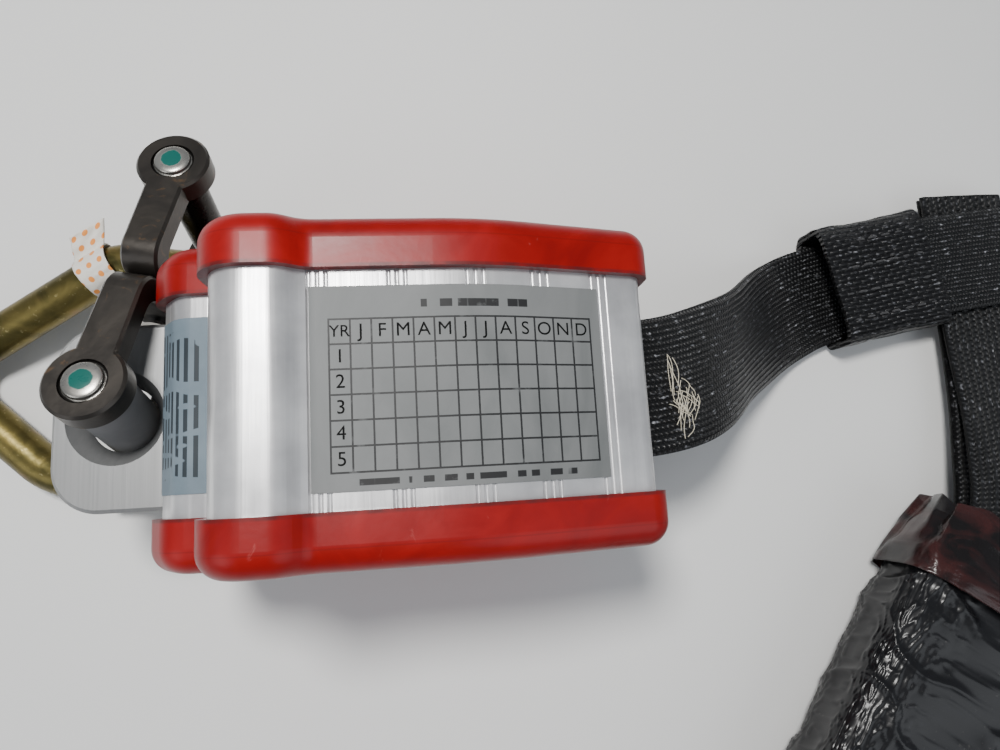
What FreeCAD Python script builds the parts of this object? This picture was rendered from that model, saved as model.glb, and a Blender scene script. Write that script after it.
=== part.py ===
import FreeCAD, Part
import math
import os
from FreeCAD import Matrix, Placement, Rotation, Vector

# A self-retracting web lanyard with an external shock pack, in millimetres.
# X runs from the anchor end to the webbing exit, Y along the spool's axis, Z up from the surface it lies on.

doc = FreeCAD.newDocument("web_lanyard")
sheet = doc.addObject("Spreadsheet::Sheet", "Sizes")
SIZES = {
    "axis_height": 33.0,          # spool axis above the table
    "shell_wall": 1.8,
    "shell_half_width": 22.0,
    "cap_lap": 18.3,              # the bumpers reach in to this far from the middle
    "cap_half_width": 27.2,
    "cap_lip": 1.6,
    "cap_floor": 2.6,
    "cap_round": 4.2,
    "seam_height": 51.6,
    "web_width": 25.4,
    "strap_thickness": 2.0,
    "flange_radius": 26.0,
    "flange_thickness": 1.5,
    "barrel_radius": 9.0,
    "spool_half": 15.0,
    "axle_radius": 4.0,
    "running_gap": 0.05,
    "plate_thickness": 2.0,
    "upper_plate_face": 15.6,
    "lower_plate_face": 18.9,
    "anchor_thickness": 9.0,
    "anchor_half_width": 17.0,
    "anchor_reach": 56.5,
    "anchor_pin": 45.5,
    "jaw_height": 35.0,
    "jaw_gap": 26.4,
    "jaw_eye_radius": 6.8,
    "jaw_arm_half": 3.5,
    "jaw_crown_half": 3.4,
    "jaw_reach": 23.3,
    "jaw_crown": 3.6,
    "jaw_pin_radius": 4.0,
    "sleeve_radius": 5.5,
    "swivel_gap": 0.5,
    "rivet_radius": 2.8,
    "swivel_lean": 16.0,
    "swivel_turn": 11.0,
    "rod_radius": 4.4,
    "gate_radius": 4.0,
    "coil_radius": 25.0,
    "pack_length": 104.0,
    "pack_width": 46.0,
    "pack_height": 23.0,
    "hook_thickness": 10.0,
}
for row, (name, value) in enumerate(SIZES.items(), start=1):
    sheet.set(f"A{row}", name)
    sheet.set(f"B{row}", str(value))
    sheet.setAlias(f"B{row}", name)
doc.recompute()

PARTS = []
ORIGIN = Vector(0, 0, 0)
AXIS_X, AXIS_Y, AXIS_Z = Vector(1, 0, 0), Vector(0, 1, 0), Vector(0, 0, 1)
TABLE_TOUCH = 0.1


def size(name):
    return float(sheet.get(name))


def label(thing, name):
    thing.Label = name
    PARTS.append(thing)
    return thing


def bind(thing, prop, expression):
    """Binds a property to the sheet: words in the expression that are aliases get the sheet's name."""
    if isinstance(expression, (int, float)):
        setattr(thing, prop, expression)
        return
    words = expression.replace("(", " ( ").replace(")", " ) ").split()
    thing.setExpression(prop, " ".join(f"Sizes.{word}" if word in SIZES else word for word in words))


def turned(base, direction, twist=0.0):
    """A placement at base whose Z axis points along direction."""
    return Placement(base, Rotation(AXIS_Z, direction) * Rotation(AXIS_Z, twist))


def cylinder(name, radius, height, base, direction=AXIS_Y):
    thing = doc.addObject("Part::Cylinder", name)
    bind(thing, "Radius", radius)
    bind(thing, "Height", height)
    thing.Placement = turned(base, direction)
    return thing


def box(name, sizes, placement):
    """A box with its corner at the placement."""
    thing = doc.addObject("Part::Box", name)
    for prop, value in zip(("Length", "Width", "Height"), sizes):
        bind(thing, prop, value)
    thing.Placement = placement
    return thing


def centred_box(name, sizes, centre, rotation=Rotation()):
    middle = Vector(*sizes) * 0.5
    return box(name, sizes, Placement(centre - rotation.multVec(middle), rotation))


def cut(name, base, *tools):
    for number, tool in enumerate(tools):
        thing = doc.addObject("Part::Cut", f"{name}_cut_{number}")
        thing.Base = base
        thing.Tool = tool
        base = thing
    return base


def fuse(name, *things):
    thing = doc.addObject("Part::MultiFuse", name)
    thing.Shapes = list(things)
    thing.Refine = True
    return thing


def group(name, *things):
    """Separate solids in one node."""
    thing = doc.addObject("Part::Compound", name)
    thing.Links = list(things)
    return thing


def rounded(name, base, radius, wanted):
    """Rounds the edges of base that the test wants."""
    doc.recompute()
    thing = doc.addObject("Part::Fillet", name)
    thing.Base = base
    thing.Edges = [
        (number, radius, radius) for number, edge in enumerate(base.Shape.Edges, start=1) if wanted(edge)
    ]
    return thing


def chamfered(name, base, depth, wanted):
    doc.recompute()
    thing = doc.addObject("Part::Chamfer", name)
    thing.Base = base
    thing.Edges = [
        (number, depth, depth) for number, edge in enumerate(base.Shape.Edges, start=1) if wanted(edge)
    ]
    return thing


def feature(name, shape):
    thing = doc.addObject("Part::Feature", name)
    thing.Shape = shape
    return thing


def origin_plane(body, role):
    return next(item for item in body.Origin.OriginFeatures if item.Role == role)


def sketch_on(body, role, name):
    sketch = body.newObject("Sketcher::SketchObject", name)
    sketch.AttachmentSupport = [(origin_plane(body, role), "")]
    sketch.MapMode = "FlatFace"
    return sketch


def round_corners(corners, closed=True):
    """Line and arc pieces of an outline. Each corner is (x, y, radius); a zero radius stays sharp."""
    points = [(Vector(x, y, 0), radius) for x, y, radius in corners]
    count = len(points)
    runs = []
    for index, (point, radius) in enumerate(points):
        if radius <= 0 or (not closed and index in (0, count - 1)):
            runs.append((point, None, point))
            continue
        back = (points[index - 1][0] - point).normalize()
        ahead = (points[(index + 1) % count][0] - point).normalize()
        half = math.acos(max(-1.0, min(1.0, back.dot(ahead)))) / 2
        reach = radius / math.tan(half)
        middle = (back + ahead).normalize()
        knee = point + middle * (radius / math.sin(half) - radius)
        runs.append((point + back * reach, knee, point + ahead * reach))
    pieces = []
    for index, (start, knee, end) in enumerate(runs):
        if knee is not None:
            pieces.append(Part.Arc(start, knee, end))
        if closed or index < count - 1:
            following = runs[(index + 1) % count][0]
            if (following - end).Length > 1e-6:
                pieces.append(Part.LineSegment(end, following))
    return pieces


def outline_body(name, corners, length, role="XY_Plane", midplane=True, holes=()):
    """A body padded from a rounded outline, with round holes (x, y, radius) through it."""
    body = doc.addObject("PartDesign::Body", name)
    sketch = sketch_on(body, role, f"{name}_outline")
    sketch.addGeometry(round_corners(corners))
    for x, y, radius in holes:
        sketch.addGeometry(Part.Circle(Vector(x, y, 0), AXIS_Z, radius))
    pad = body.newObject("PartDesign::Pad", f"{name}_pad")
    pad.Profile = sketch
    bind(pad, "Length", length)
    pad.Midplane = midplane
    return body


def pocket(body, name, role, pieces, depth=None):
    """Cuts a closed profile through the body, both ways from the plane, and checks that it cut."""
    doc.recompute()
    before = body.Shape.Volume
    sketch = sketch_on(body, role, f"{name}_profile")
    sketch.addGeometry(pieces)
    hollow = body.newObject("PartDesign::Pocket", name)
    hollow.Profile = sketch
    hollow.Midplane = True
    hollow.Length = 400.0 if depth is None else depth
    doc.recompute()
    if body.Shape.Volume >= before - 1e-6:
        raise RuntimeError(f"{name} cuts nothing")
    return hollow


def circle(x, y, radius):
    return [Part.Circle(Vector(x, y, 0), AXIS_Z, radius)]


def ring(name, outer, inner, height, base, direction=AXIS_Y):
    """A round tube: outer and inner radius, height along the direction."""
    return cut(name, cylinder(f"{name}_outer", outer, height, base, direction),
               cylinder(f"{name}_inner", inner, height, base, direction))


def pipe(points, radii, rod):
    """A round rod along straight runs joined by tangent arcs. radii holds one arc radius per inner point."""
    edges = []
    last = points[0]
    for index in range(1, len(points) - 1):
        point = points[index]
        back = (points[index - 1] - point).normalize()
        ahead = (points[index + 1] - point).normalize()
        half = math.acos(max(-1.0, min(1.0, back.dot(ahead)))) / 2
        reach = radii[index - 1] / math.tan(half)
        middle = (back + ahead).normalize()
        knee = point + middle * (radii[index - 1] / math.sin(half) - radii[index - 1])
        start, end = point + back * reach, point + ahead * reach
        if (start - last).Length > 1e-6:
            edges.append(Part.LineSegment(last, start).toShape())
        edges.append(Part.Arc(start, knee, end).toShape())
        last = end
    if (points[-1] - last).Length > 1e-6:
        edges.append(Part.LineSegment(last, points[-1]).toShape())
    path = Part.Wire(edges)
    first = (points[1] - points[0]).normalize()
    section = Part.Wire(Part.makeCircle(rod, points[0], first))
    solid = path.makePipeShell([section], True, True)
    if abs(solid.Volume / (math.pi * rod * rod * path.Length) - 1) > 0.01:
        raise RuntimeError("a rod's volume is not its section times its length")
    return solid


# ---- the housing's outline, seen along the spool's axis: X and height ----
DRUM_BACK = (1.5, 32.5, 30.9)     # centre and radius of the rear shell's round back
BACK_X, BACK_Z, BACK_R = DRUM_BACK


def back_point(degrees):
    """A point of the round back, the angle counted from +X towards +Z."""
    turn = math.radians(degrees)
    return Vector(BACK_X + BACK_R * math.cos(turn), BACK_Z + BACK_R * math.sin(turn), 0)


BACK_START = back_point(200)
housing = doc.addObject("Sketcher::SketchObject", "housing_outline")
housing.Placement = Placement(ORIGIN, Rotation(AXIS_X, 90))
outline = round_corners([
    (BACK_X, BACK_Z - BACK_R, 0), (34.0, BACK_Z - BACK_R, 14.0), (48.0, 9.0, 3.0),
    (48.0, 54.6, 3.0), (20.0, 62.7, 60.0), (-7.6, 63.3, 5.0), (-11.4, 66.2, 5.0), (-22.5, 66.2, 6.6),
    (-22.5, 51.4, 1.0), (-30.5, 50.6, 5.0), (-34.6, 44.9, 4.0), (-34.6, 27.5, 2.0),
    (BACK_START.x, BACK_START.y, 0),
])
outline.pop()                     # the round back closes the outline instead of its last straight line
outline.append(Part.Arc(BACK_START, back_point(235), back_point(270)))
housing.addGeometry(outline)


def housing_slab(name, offset, half_length):
    """The housing's outline grown by offset and drawn out both ways along Y."""
    source = housing
    if offset:
        source = doc.addObject("Part::Offset2D", f"{name}_outline")
        source.Source = housing
        bind(source, "Value", offset)
        source.Join = "Arc"
    slab = doc.addObject("Part::Extrusion", f"{name}_slab")
    slab.Base = source
    slab.Dir = AXIS_Y
    slab.DirMode = "Custom"
    slab.Solid = True
    slab.Symmetric = True
    bind(slab, "LengthFwd", half_length)
    return slab


def far_box(name, low, high):
    return box(name, tuple(high[i] - low[i] for i in range(3)), Placement(Vector(*low), Rotation()))


RIGHT_END = 48.0
EXIT = Vector(RIGHT_END, 0, 44.6)
GROOVE_TRIPLETS = (-5.6, 6.5, 18.8, 29.4, 39.8)
GROOVE_PITCH = 1.3


def make_shells():
    tube = cut("shell_tube", housing_slab("shell_outer", 0, "shell_half_width * 2"),
               housing_slab("shell_inner", "-1 * shell_wall", "shell_half_width * 2 + 2"),
               far_box("shell_mouth", (RIGHT_END - 4.0, -40, 10.9), (70, 40, 52.7)))
    doc.recompute()
    grooves = []
    for middle in GROOVE_TRIPLETS:
        for step in (-1, 0, 1):
            x = middle + step * GROOVE_PITCH
            line = Part.makeLine(Vector(x, 0, 55), Vector(x, 0, 75))
            hits = [v.Point for v in tube.Shape.common(line).Vertexes]
            top = max(point.z for point in hits)
            grooves.append(cylinder(f"groove_{len(grooves)}", 0.45, 60, Vector(x, -30, top + 0.18)))
    seam = size("seam_height")
    slot_half = size("anchor_half_width") + 0.4
    front = cut("front_shell_a", tube, far_box("front_below", (-60, -40, -5), (0, 40, seam)),
                far_box("front_below_right", (-1, -40, -5), (70, 40, 40)), fuse("front_grooves", *grooves))
    label(front, "front_shell")
    rear = cut("rear_shell_a", tube, far_box("rear_above", (-60, -40, seam - 0.5), (0, 40, 80)),
               far_box("rear_above_right", (-1, -40, 40), (70, 40, 80)),
               far_box("anchor_slot", (-40, -slot_half, 27.9), (-20, slot_half, 38.1)))
    pad = far_box("rear_foot", (-3.0, -18.0, 0.0), (26.0, 18.0, 2.4))
    label(fuse("rear_shell_b", rear, pad), "rear_shell")


def make_bumper(name, side):
    outer = housing_slab(f"{name}_body", "cap_lip", "cap_half_width * 2")
    lap = size("cap_lap")
    half = size("cap_half_width")
    outer = cut(f"{name}_half", outer, far_box(f"{name}_lap", (-60, -40, -5), (80, lap, 80)))
    outer = rounded(f"{name}_round", outer, size("cap_round"),
                    lambda edge: min(v.Y for v in edge.Vertexes) > half - 0.01)
    room = housing_slab(f"{name}_room", 0, "( cap_half_width - cap_floor ) * 2")
    cap = cut(f"{name}_hollow", outer, room)
    screws = [cylinder(f"{name}_bore_{i}", 1.6, 12, Vector(x, half - 8, z))
              for i, (x, z) in enumerate(SCREW_SPOTS)]
    seats = [cylinder(f"{name}_seat_{i}", 3.1, 12, Vector(x, half - 1.3, z))
             for i, (x, z) in enumerate(SCREW_SPOTS)]
    cap = cut(f"{name}_drilled", cap, fuse(f"{name}_screw_room", *screws, *seats))
    if side > 0:
        label(cap, name)
        return
    doc.recompute()
    mirror = doc.addObject("Part::Mirroring", f"{name}_mirror")
    mirror.Source = cap
    mirror.Normal = AXIS_Y
    label(mirror, name)


SCREW_SPOTS = ((-17.0, 57.5), (32.0, 49.0), (32.0, 14.0))
TIE_RADIUS = 2.0
DRUM = Vector(0, 0, size("axis_height"))
ANCHOR_BOLT = Vector(-30.3, 0, size("axis_height"))
ANCHOR_BOLT_RADIUS = 1.75


def make_frame():
    upper, lower = size("upper_plate_face"), size("lower_plate_face")
    corners = [(-19.6, 62.8, 3.5), (-13.4, 62.8, 2.0), (-9.4, 60.2, 2.0), (18.0, 59.4, 20.0),
               (41.0, 53.0, 4.0), (41.0, 9.0, 4.0), (33.0, 4.4, 6.0), (2.0, 4.4, 12.0),
               (-22.0, 14.0, 14.0), (-27.4, 29.6, 2.0), (-32.6, 29.6, 2.6), (-32.6, 37.0, 2.6),
               (-29.6, 37.0, 1.0), (-29.6, 45.4, 3.0), (-19.6, 47.6, 2.0)]
    holes = [(x, z, TIE_RADIUS) for x, z in SCREW_SPOTS]
    holes += [(ANCHOR_BOLT.x, ANCHOR_BOLT.z, ANCHOR_BOLT_RADIUS), (0, size("axis_height"), 6.0)]
    for name, face in (("frame_plate_upper", upper), ("frame_plate_lower", -lower - size("plate_thickness"))):
        plate = outline_body(name, corners, "plate_thickness", "XZ_Plane", False, holes)
        doc.recompute()
        plate.Placement = Placement(Vector(0, face - plate.Shape.BoundBox.YMin, 0), Rotation())
        label(plate, name)
    span = upper + lower + 2 * size("plate_thickness")
    start = -lower - size("plate_thickness")
    ties, nuts = [], []
    for i, (x, z) in enumerate(SCREW_SPOTS):
        rod = cylinder(f"tie_{i}", TIE_RADIUS, span + 3.0, Vector(x, start - 2.4, z))
        head = cylinder(f"tie_head_{i}", 3.4, 1.6, Vector(x, start - 1.6, z))
        ties.append(fuse(f"tie_bolt_{i}", rod, head))
        nuts.append(cut(f"tie_nut_{i}", hexagon(f"tie_nut_hex_{i}", 3.5, 2.0, Vector(x, start + span, z)),
                        cylinder(f"tie_nut_bore_{i}", TIE_RADIUS, 2.0, Vector(x, start + span, z))))
    label(group("tie_bolts_all", *ties), "tie_bolts")
    label(group("tie_nuts_all", *nuts), "tie_nuts")
    bolt = cylinder("anchor_bolt_rod", ANCHOR_BOLT_RADIUS, span + 2.4, ANCHOR_BOLT + Vector(0, start, 0))
    head = cylinder("anchor_bolt_head", 2.4, 1.6, ANCHOR_BOLT + Vector(0, start - 1.6, 0))
    label(fuse("anchor_bolt_all", bolt, head), "anchor_bolt")
    end = ANCHOR_BOLT + Vector(0, start + span, 0)
    label(cut("anchor_nut_all", hexagon("anchor_nut_hex", 2.45, 1.8, end),
              cylinder("anchor_nut_bore", ANCHOR_BOLT_RADIUS, 1.8, end)), "anchor_nut")
    bushes = (("axle_bush_upper", upper, 1), ("axle_bush_lower", -lower, -1))
    for name, face, way in bushes:
        at = Vector(0, face, DRUM.z)
        body = cylinder(f"{name}_body", 6.0, "plate_thickness", at, AXIS_Y * way)
        flange = cylinder(f"{name}_flange", 7.2, 0.25, at - AXIS_Y * way * 0.25, AXIS_Y * way)
        bore = cylinder(f"{name}_bore", "axle_radius + running_gap", 6, at - AXIS_Y * way * 2, AXIS_Y * way)
        label(cut(name, fuse(f"{name}_solid", body, flange), bore), name)


def hexagon(name, radius, height, base):
    prism = doc.addObject("Part::Prism", name)
    prism.Polygon = 6
    prism.Circumradius = radius
    prism.Height = height
    prism.Placement = turned(base, AXIS_Y)
    return prism


PAWL_RADIUS = 15.0                # the pawls' pivots, from the spool's axis
PAWL_TURNS = (195.0, 15.0)        # where they sit round the spool
PAWL_ARM = 15.0
PAWL_PIN = 1.5
TEETH = 12
TOOTH_TIP, TOOTH_ROOT, RING_EDGE = 23.4, 25.4, 26.6


def make_spool():
    half = size("spool_half")
    axle = cylinder("axle_rod", "axle_radius", 45.6, DRUM + Vector(0, -22.3, 0))
    label(axle, "spool_axle")
    hub = cylinder("hub", "barrel_radius", "2 * spool_half", DRUM + Vector(0, -half, 0))
    faces = (-half, half - size("flange_thickness"))
    flanges = [cylinder(f"flange_{i}", "flange_radius", "flange_thickness", DRUM + Vector(0, at, 0))
               for i, at in enumerate(faces)]
    holes = []
    for i in range(6):
        turn = math.radians(60 * i + 10)
        spot = Vector(17.5 * math.cos(turn), -30, 17.5 * math.sin(turn))
        holes.append(cylinder(f"lightening_{i}", 3.2, 60, DRUM + spot))
    solid = fuse("spool_solid", hub, *flanges)
    bore = cylinder("spool_bore", "axle_radius", 60, DRUM + Vector(0, -30, 0))
    label(cut("spool_cut", solid, bore, fuse("lightening", *holes)), "web_spool")
    coil_base = DRUM + Vector(0, -size("web_width") / 2, 0)
    label(ring("coil", "coil_radius", "barrel_radius", "web_width", coil_base), "webbing_coil")
    label(cut("arbor", cylinder("arbor_body", 5.6, 5.0, DRUM + Vector(0, 18.2, 0)),
              cylinder("arbor_bore", "axle_radius", 6.0, DRUM + Vector(0, 18.0, 0))), "spring_arbor")


def make_ratchet():
    lower = size("lower_plate_face")
    pitch = 2 * math.pi / TEETH
    points = []
    for tooth in range(TEETH):
        start = tooth * pitch
        for share, radius in ((0.0, TOOTH_TIP), (0.18, TOOTH_TIP), (0.30, TOOTH_ROOT), (0.98, TOOTH_ROOT)):
            angle = start + share * pitch
            points.append(Vector(radius * math.cos(angle), 0, radius * math.sin(angle)))
    points.append(points[0])
    hollow = Part.Face(Part.makePolygon(points)).extrude(Vector(0, 10, 0))
    hollow.translate(DRUM + Vector(0, -lower - 1, 0))
    rim = cylinder("ratchet_rim", RING_EDGE, 3.4, DRUM + Vector(0, -lower, 0))
    label(cut("ratchet_cut", rim, feature("ratchet_room", hollow)), "ratchet_ring")
    # the pawls ride on the lower flange: pivot towards the middle, nose towards the ring
    face = -size("spool_half") - 0.3
    thick = 2.2
    pins, springs = [], []
    for i, degrees in enumerate(PAWL_TURNS):
        letter = "ab"[i]
        turn = math.radians(degrees)
        out = Vector(math.cos(turn), 0, math.sin(turn))
        ahead = Vector(-math.sin(turn), 0, math.cos(turn))
        at = DRUM + out * PAWL_RADIUS
        shape = [(-2.9, -2.9, 2.8), (4.0, -2.9, 2.8), (PAWL_ARM - 1.5, -1.8, 0.8), (PAWL_ARM, 1.6, 0.4),
                 (PAWL_ARM - 4.5, 1.7, 3.0), (5.0, 2.6, 3.0), (-2.9, 2.9, 2.8)]
        corners = [(ahead.x * along + out.x * up, ahead.z * along + out.z * up, radius)
                   for along, up, radius in shape]
        bore = [(0, 0, PAWL_PIN + size("running_gap"))]
        body = outline_body(f"pawl_{letter}", corners, thick, "XZ_Plane", False, bore)
        doc.recompute()
        body.Placement = Placement(Vector(at.x, face - thick - body.Shape.BoundBox.YMin, at.z), Rotation())
        label(body, f"pawl_{letter}")
        stem = cylinder(f"pawl_pin_stem_{i}", PAWL_PIN, 2.9, Vector(at.x, face - 2.6, at.z))
        head = cylinder(f"pawl_pin_head_{i}", 2.3, 0.6, Vector(at.x, face - 3.1, at.z))
        pins.append(fuse(f"pawl_pin_{i}", stem, head))
        coil = ring(f"pawl_spring_coil_{i}", 3.1, 2.35, 0.5, Vector(at.x, face - 3.0, at.z))
        leg_middle = Vector(at.x, face - 2.75, at.z) + ahead * 6.5
        leg_turn = Rotation(Vector(1, 0, 0), ahead)
        leg = centred_box(f"pawl_spring_leg_{i}", (8.0, 0.5, 0.5), leg_middle, leg_turn)
        springs.append(fuse(f"pawl_spring_{i}", coil, leg))
    label(group("pawl_pins_all", *pins), "pawl_pins")
    label(group("pawl_springs_all", *springs), "pawl_springs")


def spiral_band(inner, pitch, thickness, half_turns, width):
    """A flat clock spring drawn as half circles about two centres."""
    edges_in, edges_out = [], []
    for offset, store in ((-thickness / 2, edges_in), (thickness / 2, edges_out)):
        for half in range(half_turns):
            radius = inner + half * pitch / 2 + offset
            centre = pitch / 4 if half % 2 else -pitch / 4
            way = -1 if half % 2 else 1
            start, end = Vector(centre + way * radius, 0, 0), Vector(centre - way * radius, 0, 0)
            store.append(Part.Arc(start, Vector(centre, 0, way * radius), end))
    ends = [Part.LineSegment(edges_in[0].StartPoint, edges_out[0].StartPoint),
            Part.LineSegment(edges_in[-1].EndPoint, edges_out[-1].EndPoint)]
    wire = Part.Wire(Part.__sortEdges__([piece.toShape() for piece in edges_in + edges_out + ends]))
    return Part.Face(wire).extrude(Vector(0, width, 0))


def make_power_spring():
    upper = size("upper_plate_face") + size("plate_thickness")
    base = DRUM + Vector(0, upper, 0)
    can = cut("spring_can_cut", cylinder("spring_can", 24.2, 6.4, base),
              cylinder("spring_can_room", 23.2, 5.6, base),
              cylinder("spring_can_bore", 6.2, 8.0, base))
    label(can, "spring_cup")
    spiral = feature("power_spring_band", spiral_band(7.4, 1.5, 0.4, 20, 4.8))
    spiral.Placement = Placement(base + AXIS_Y * 0.4, Rotation())
    label(spiral, "power_spring")


def make_nozzle():
    block = centred_box("nozzle_block", (3.0, 43.6, 40.4), Vector(RIGHT_END - 2.7, 0, 31.9))
    lip = centred_box("nozzle_lip", (6.0, 31.0, 7.4), Vector(RIGHT_END - 3.2, 0, EXIT.z))
    slot = centred_box("nozzle_slot", (20.0, 27.0, 3.6), Vector(RIGHT_END - 4, 0, EXIT.z))
    label(cut("nozzle_cut", fuse("nozzle_solid", block, lip), slot), "exit_nozzle")


def label_patch(name, half_y, grow, keep):
    """A thin sheet that follows the housing's outline, kept inside the box keep."""
    skin = cut(f"{name}_skin", housing_slab(f"{name}_outer", grow, half_y * 2),
               housing_slab(f"{name}_inner", 0, half_y * 2 + 2))
    keep_box = far_box(f"{name}_keep", keep[0], keep[1])
    patch = doc.addObject("Part::Common", f"{name}_patch")
    patch.Base = skin
    patch.Tool = keep_box
    label(patch, name)


def make_labels():
    label_patch("inspection_label", 15.6, 0.2, ((-6.9, -40, 40), (39.4, 40, 70)))
    label_patch("rating_label", 14.5, 0.2, ((-40, -40, 39.4), (-24.6, 40, 52.0)))


def make_anchor_plate():
    reach, half = size("anchor_reach"), size("anchor_half_width")
    corners = [(-reach, -half, 8.5), (-36.2, -half, 0.8), (-36.2, -15.2, 0), (-27.2, -15.2, 1.0),
               (-27.2, 15.2, 1.0), (-36.2, 15.2, 0), (-36.2, half, 0.8), (-reach, half, 8.5)]
    plate = outline_body("anchor_plate_body", corners, "anchor_thickness", "XY_Plane", True)
    doc.recompute()
    plate.Placement = Placement(Vector(0, 0, size("axis_height")), Rotation())
    pin = Vector(-size("anchor_pin"), 0, size("axis_height"))
    throat = size("sleeve_radius") / math.cos(math.radians(size("swivel_lean"))) + 0.35
    mouth = throat + 2.6
    half_thick = size("anchor_thickness") / 2
    cones = []
    for i, way in enumerate((1, -1)):
        cone = doc.addObject("Part::Cone", f"anchor_dish_{i}")
        cone.Radius1 = throat
        cone.Radius2 = mouth
        cone.Height = half_thick + 0.01
        cone.Placement = turned(pin, AXIS_Z * way)
        cones.append(cone)
    hole = fuse("anchor_hole", *cones)
    bolt = cylinder("anchor_cross_bore", ANCHOR_BOLT_RADIUS, 60, ANCHOR_BOLT - AXIS_Y * 30)
    plate = cut("anchor_plate_cut", plate, hole, bolt)
    plate = chamfered("anchor_plate_edges", plate, 0.7, lambda edge: (
        edge.BoundBox.ZLength < 1e-6 and edge.BoundBox.XMax < -37.5
        and edge.BoundBox.XLength + edge.BoundBox.YLength > 3 and edge.CenterOfMass.sub(pin).Length > 11))
    label(plate, "anchor_plate")


# ---- the double jaw swivel: local Z along the pins, local Y from pin to crown ----
LEAN = Rotation(AXIS_X, -size("swivel_lean"))
TURN = Rotation(AXIS_Z, -size("swivel_turn"))
LOWER_PIN = Vector(-size("anchor_pin"), 0, size("axis_height"))
LOWER_FRAME = Placement(LOWER_PIN, LEAN * TURN)
PIN_SPAN = 2 * size("jaw_reach") + size("swivel_gap")
UPPER_FRAME = LOWER_FRAME * Placement(Vector(0, PIN_SPAN, 0), Rotation(AXIS_Z, 180))
PIN_AXIS = LOWER_FRAME.Rotation.multVec(AXIS_Z)
SWIVEL_AXIS = LOWER_FRAME.Rotation.multVec(AXIS_Y)


JAW_BEND = 5.0                    # the radius where the crown turns into the arms


def make_jaw(name):
    eye, arm, crown = size("jaw_eye_radius"), size("jaw_arm_half"), size("jaw_crown_half")
    reach, gap = size("jaw_reach"), size("jaw_gap")
    body = doc.addObject("PartDesign::Body", f"{name}_body")
    sketch = sketch_on(body, "XY_Plane", f"{name}_arm")
    sketch.addGeometry(round_corners([
        (-crown, reach, 0), (crown, reach, 0), (crown, reach - 6, 8.0), (arm, 7.0, 6.0),
        (arm, 3.0, 0), (-arm, 3.0, 0), (-arm, 7.0, 6.0), (-crown, reach - 6, 8.0)]))
    pad = body.newObject("PartDesign::Pad", f"{name}_arm_pad")
    pad.Profile = sketch
    bind(pad, "Length", "jaw_height")
    pad.Midplane = True
    eyes = sketch_on(body, "XY_Plane", f"{name}_eye")
    eyes.addGeometry(circle(0, 0, eye))
    eye_pad = body.newObject("PartDesign::Pad", f"{name}_eye_pad")
    eye_pad.Profile = eyes
    bind(eye_pad, "Length", "jaw_height")
    eye_pad.Midplane = True
    inner = reach - size("jaw_crown")
    pocket(body, f"{name}_room", "YZ_Plane", round_corners([
        (-20, -gap / 2, 0), (inner, -gap / 2, 3.0), (inner, gap / 2, 3.0), (-20, gap / 2, 0)]))
    half = size("jaw_height") / 2
    bow = math.sqrt(0.5) * JAW_BEND
    for i, way in enumerate((1, -1)):
        start, end = Vector(reach - JAW_BEND, way * half, 0), Vector(reach, way * (half - JAW_BEND), 0)
        middle = Vector(reach - JAW_BEND + bow, way * (half - JAW_BEND + bow), 0)
        outside = [start, Vector(reach - JAW_BEND, way * (half + 1), 0),
                   Vector(reach + 1, way * (half + 1), 0), Vector(reach + 1, way * (half - JAW_BEND), 0), end]
        pieces = [Part.LineSegment(a, b) for a, b in zip(outside, outside[1:])]
        pocket(body, f"{name}_bend_{i}", "YZ_Plane", pieces + [Part.Arc(end, middle, start)])
    pocket(body, f"{name}_pin_bore", "XY_Plane", circle(0, 0, size("jaw_pin_radius")))
    return body


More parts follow.
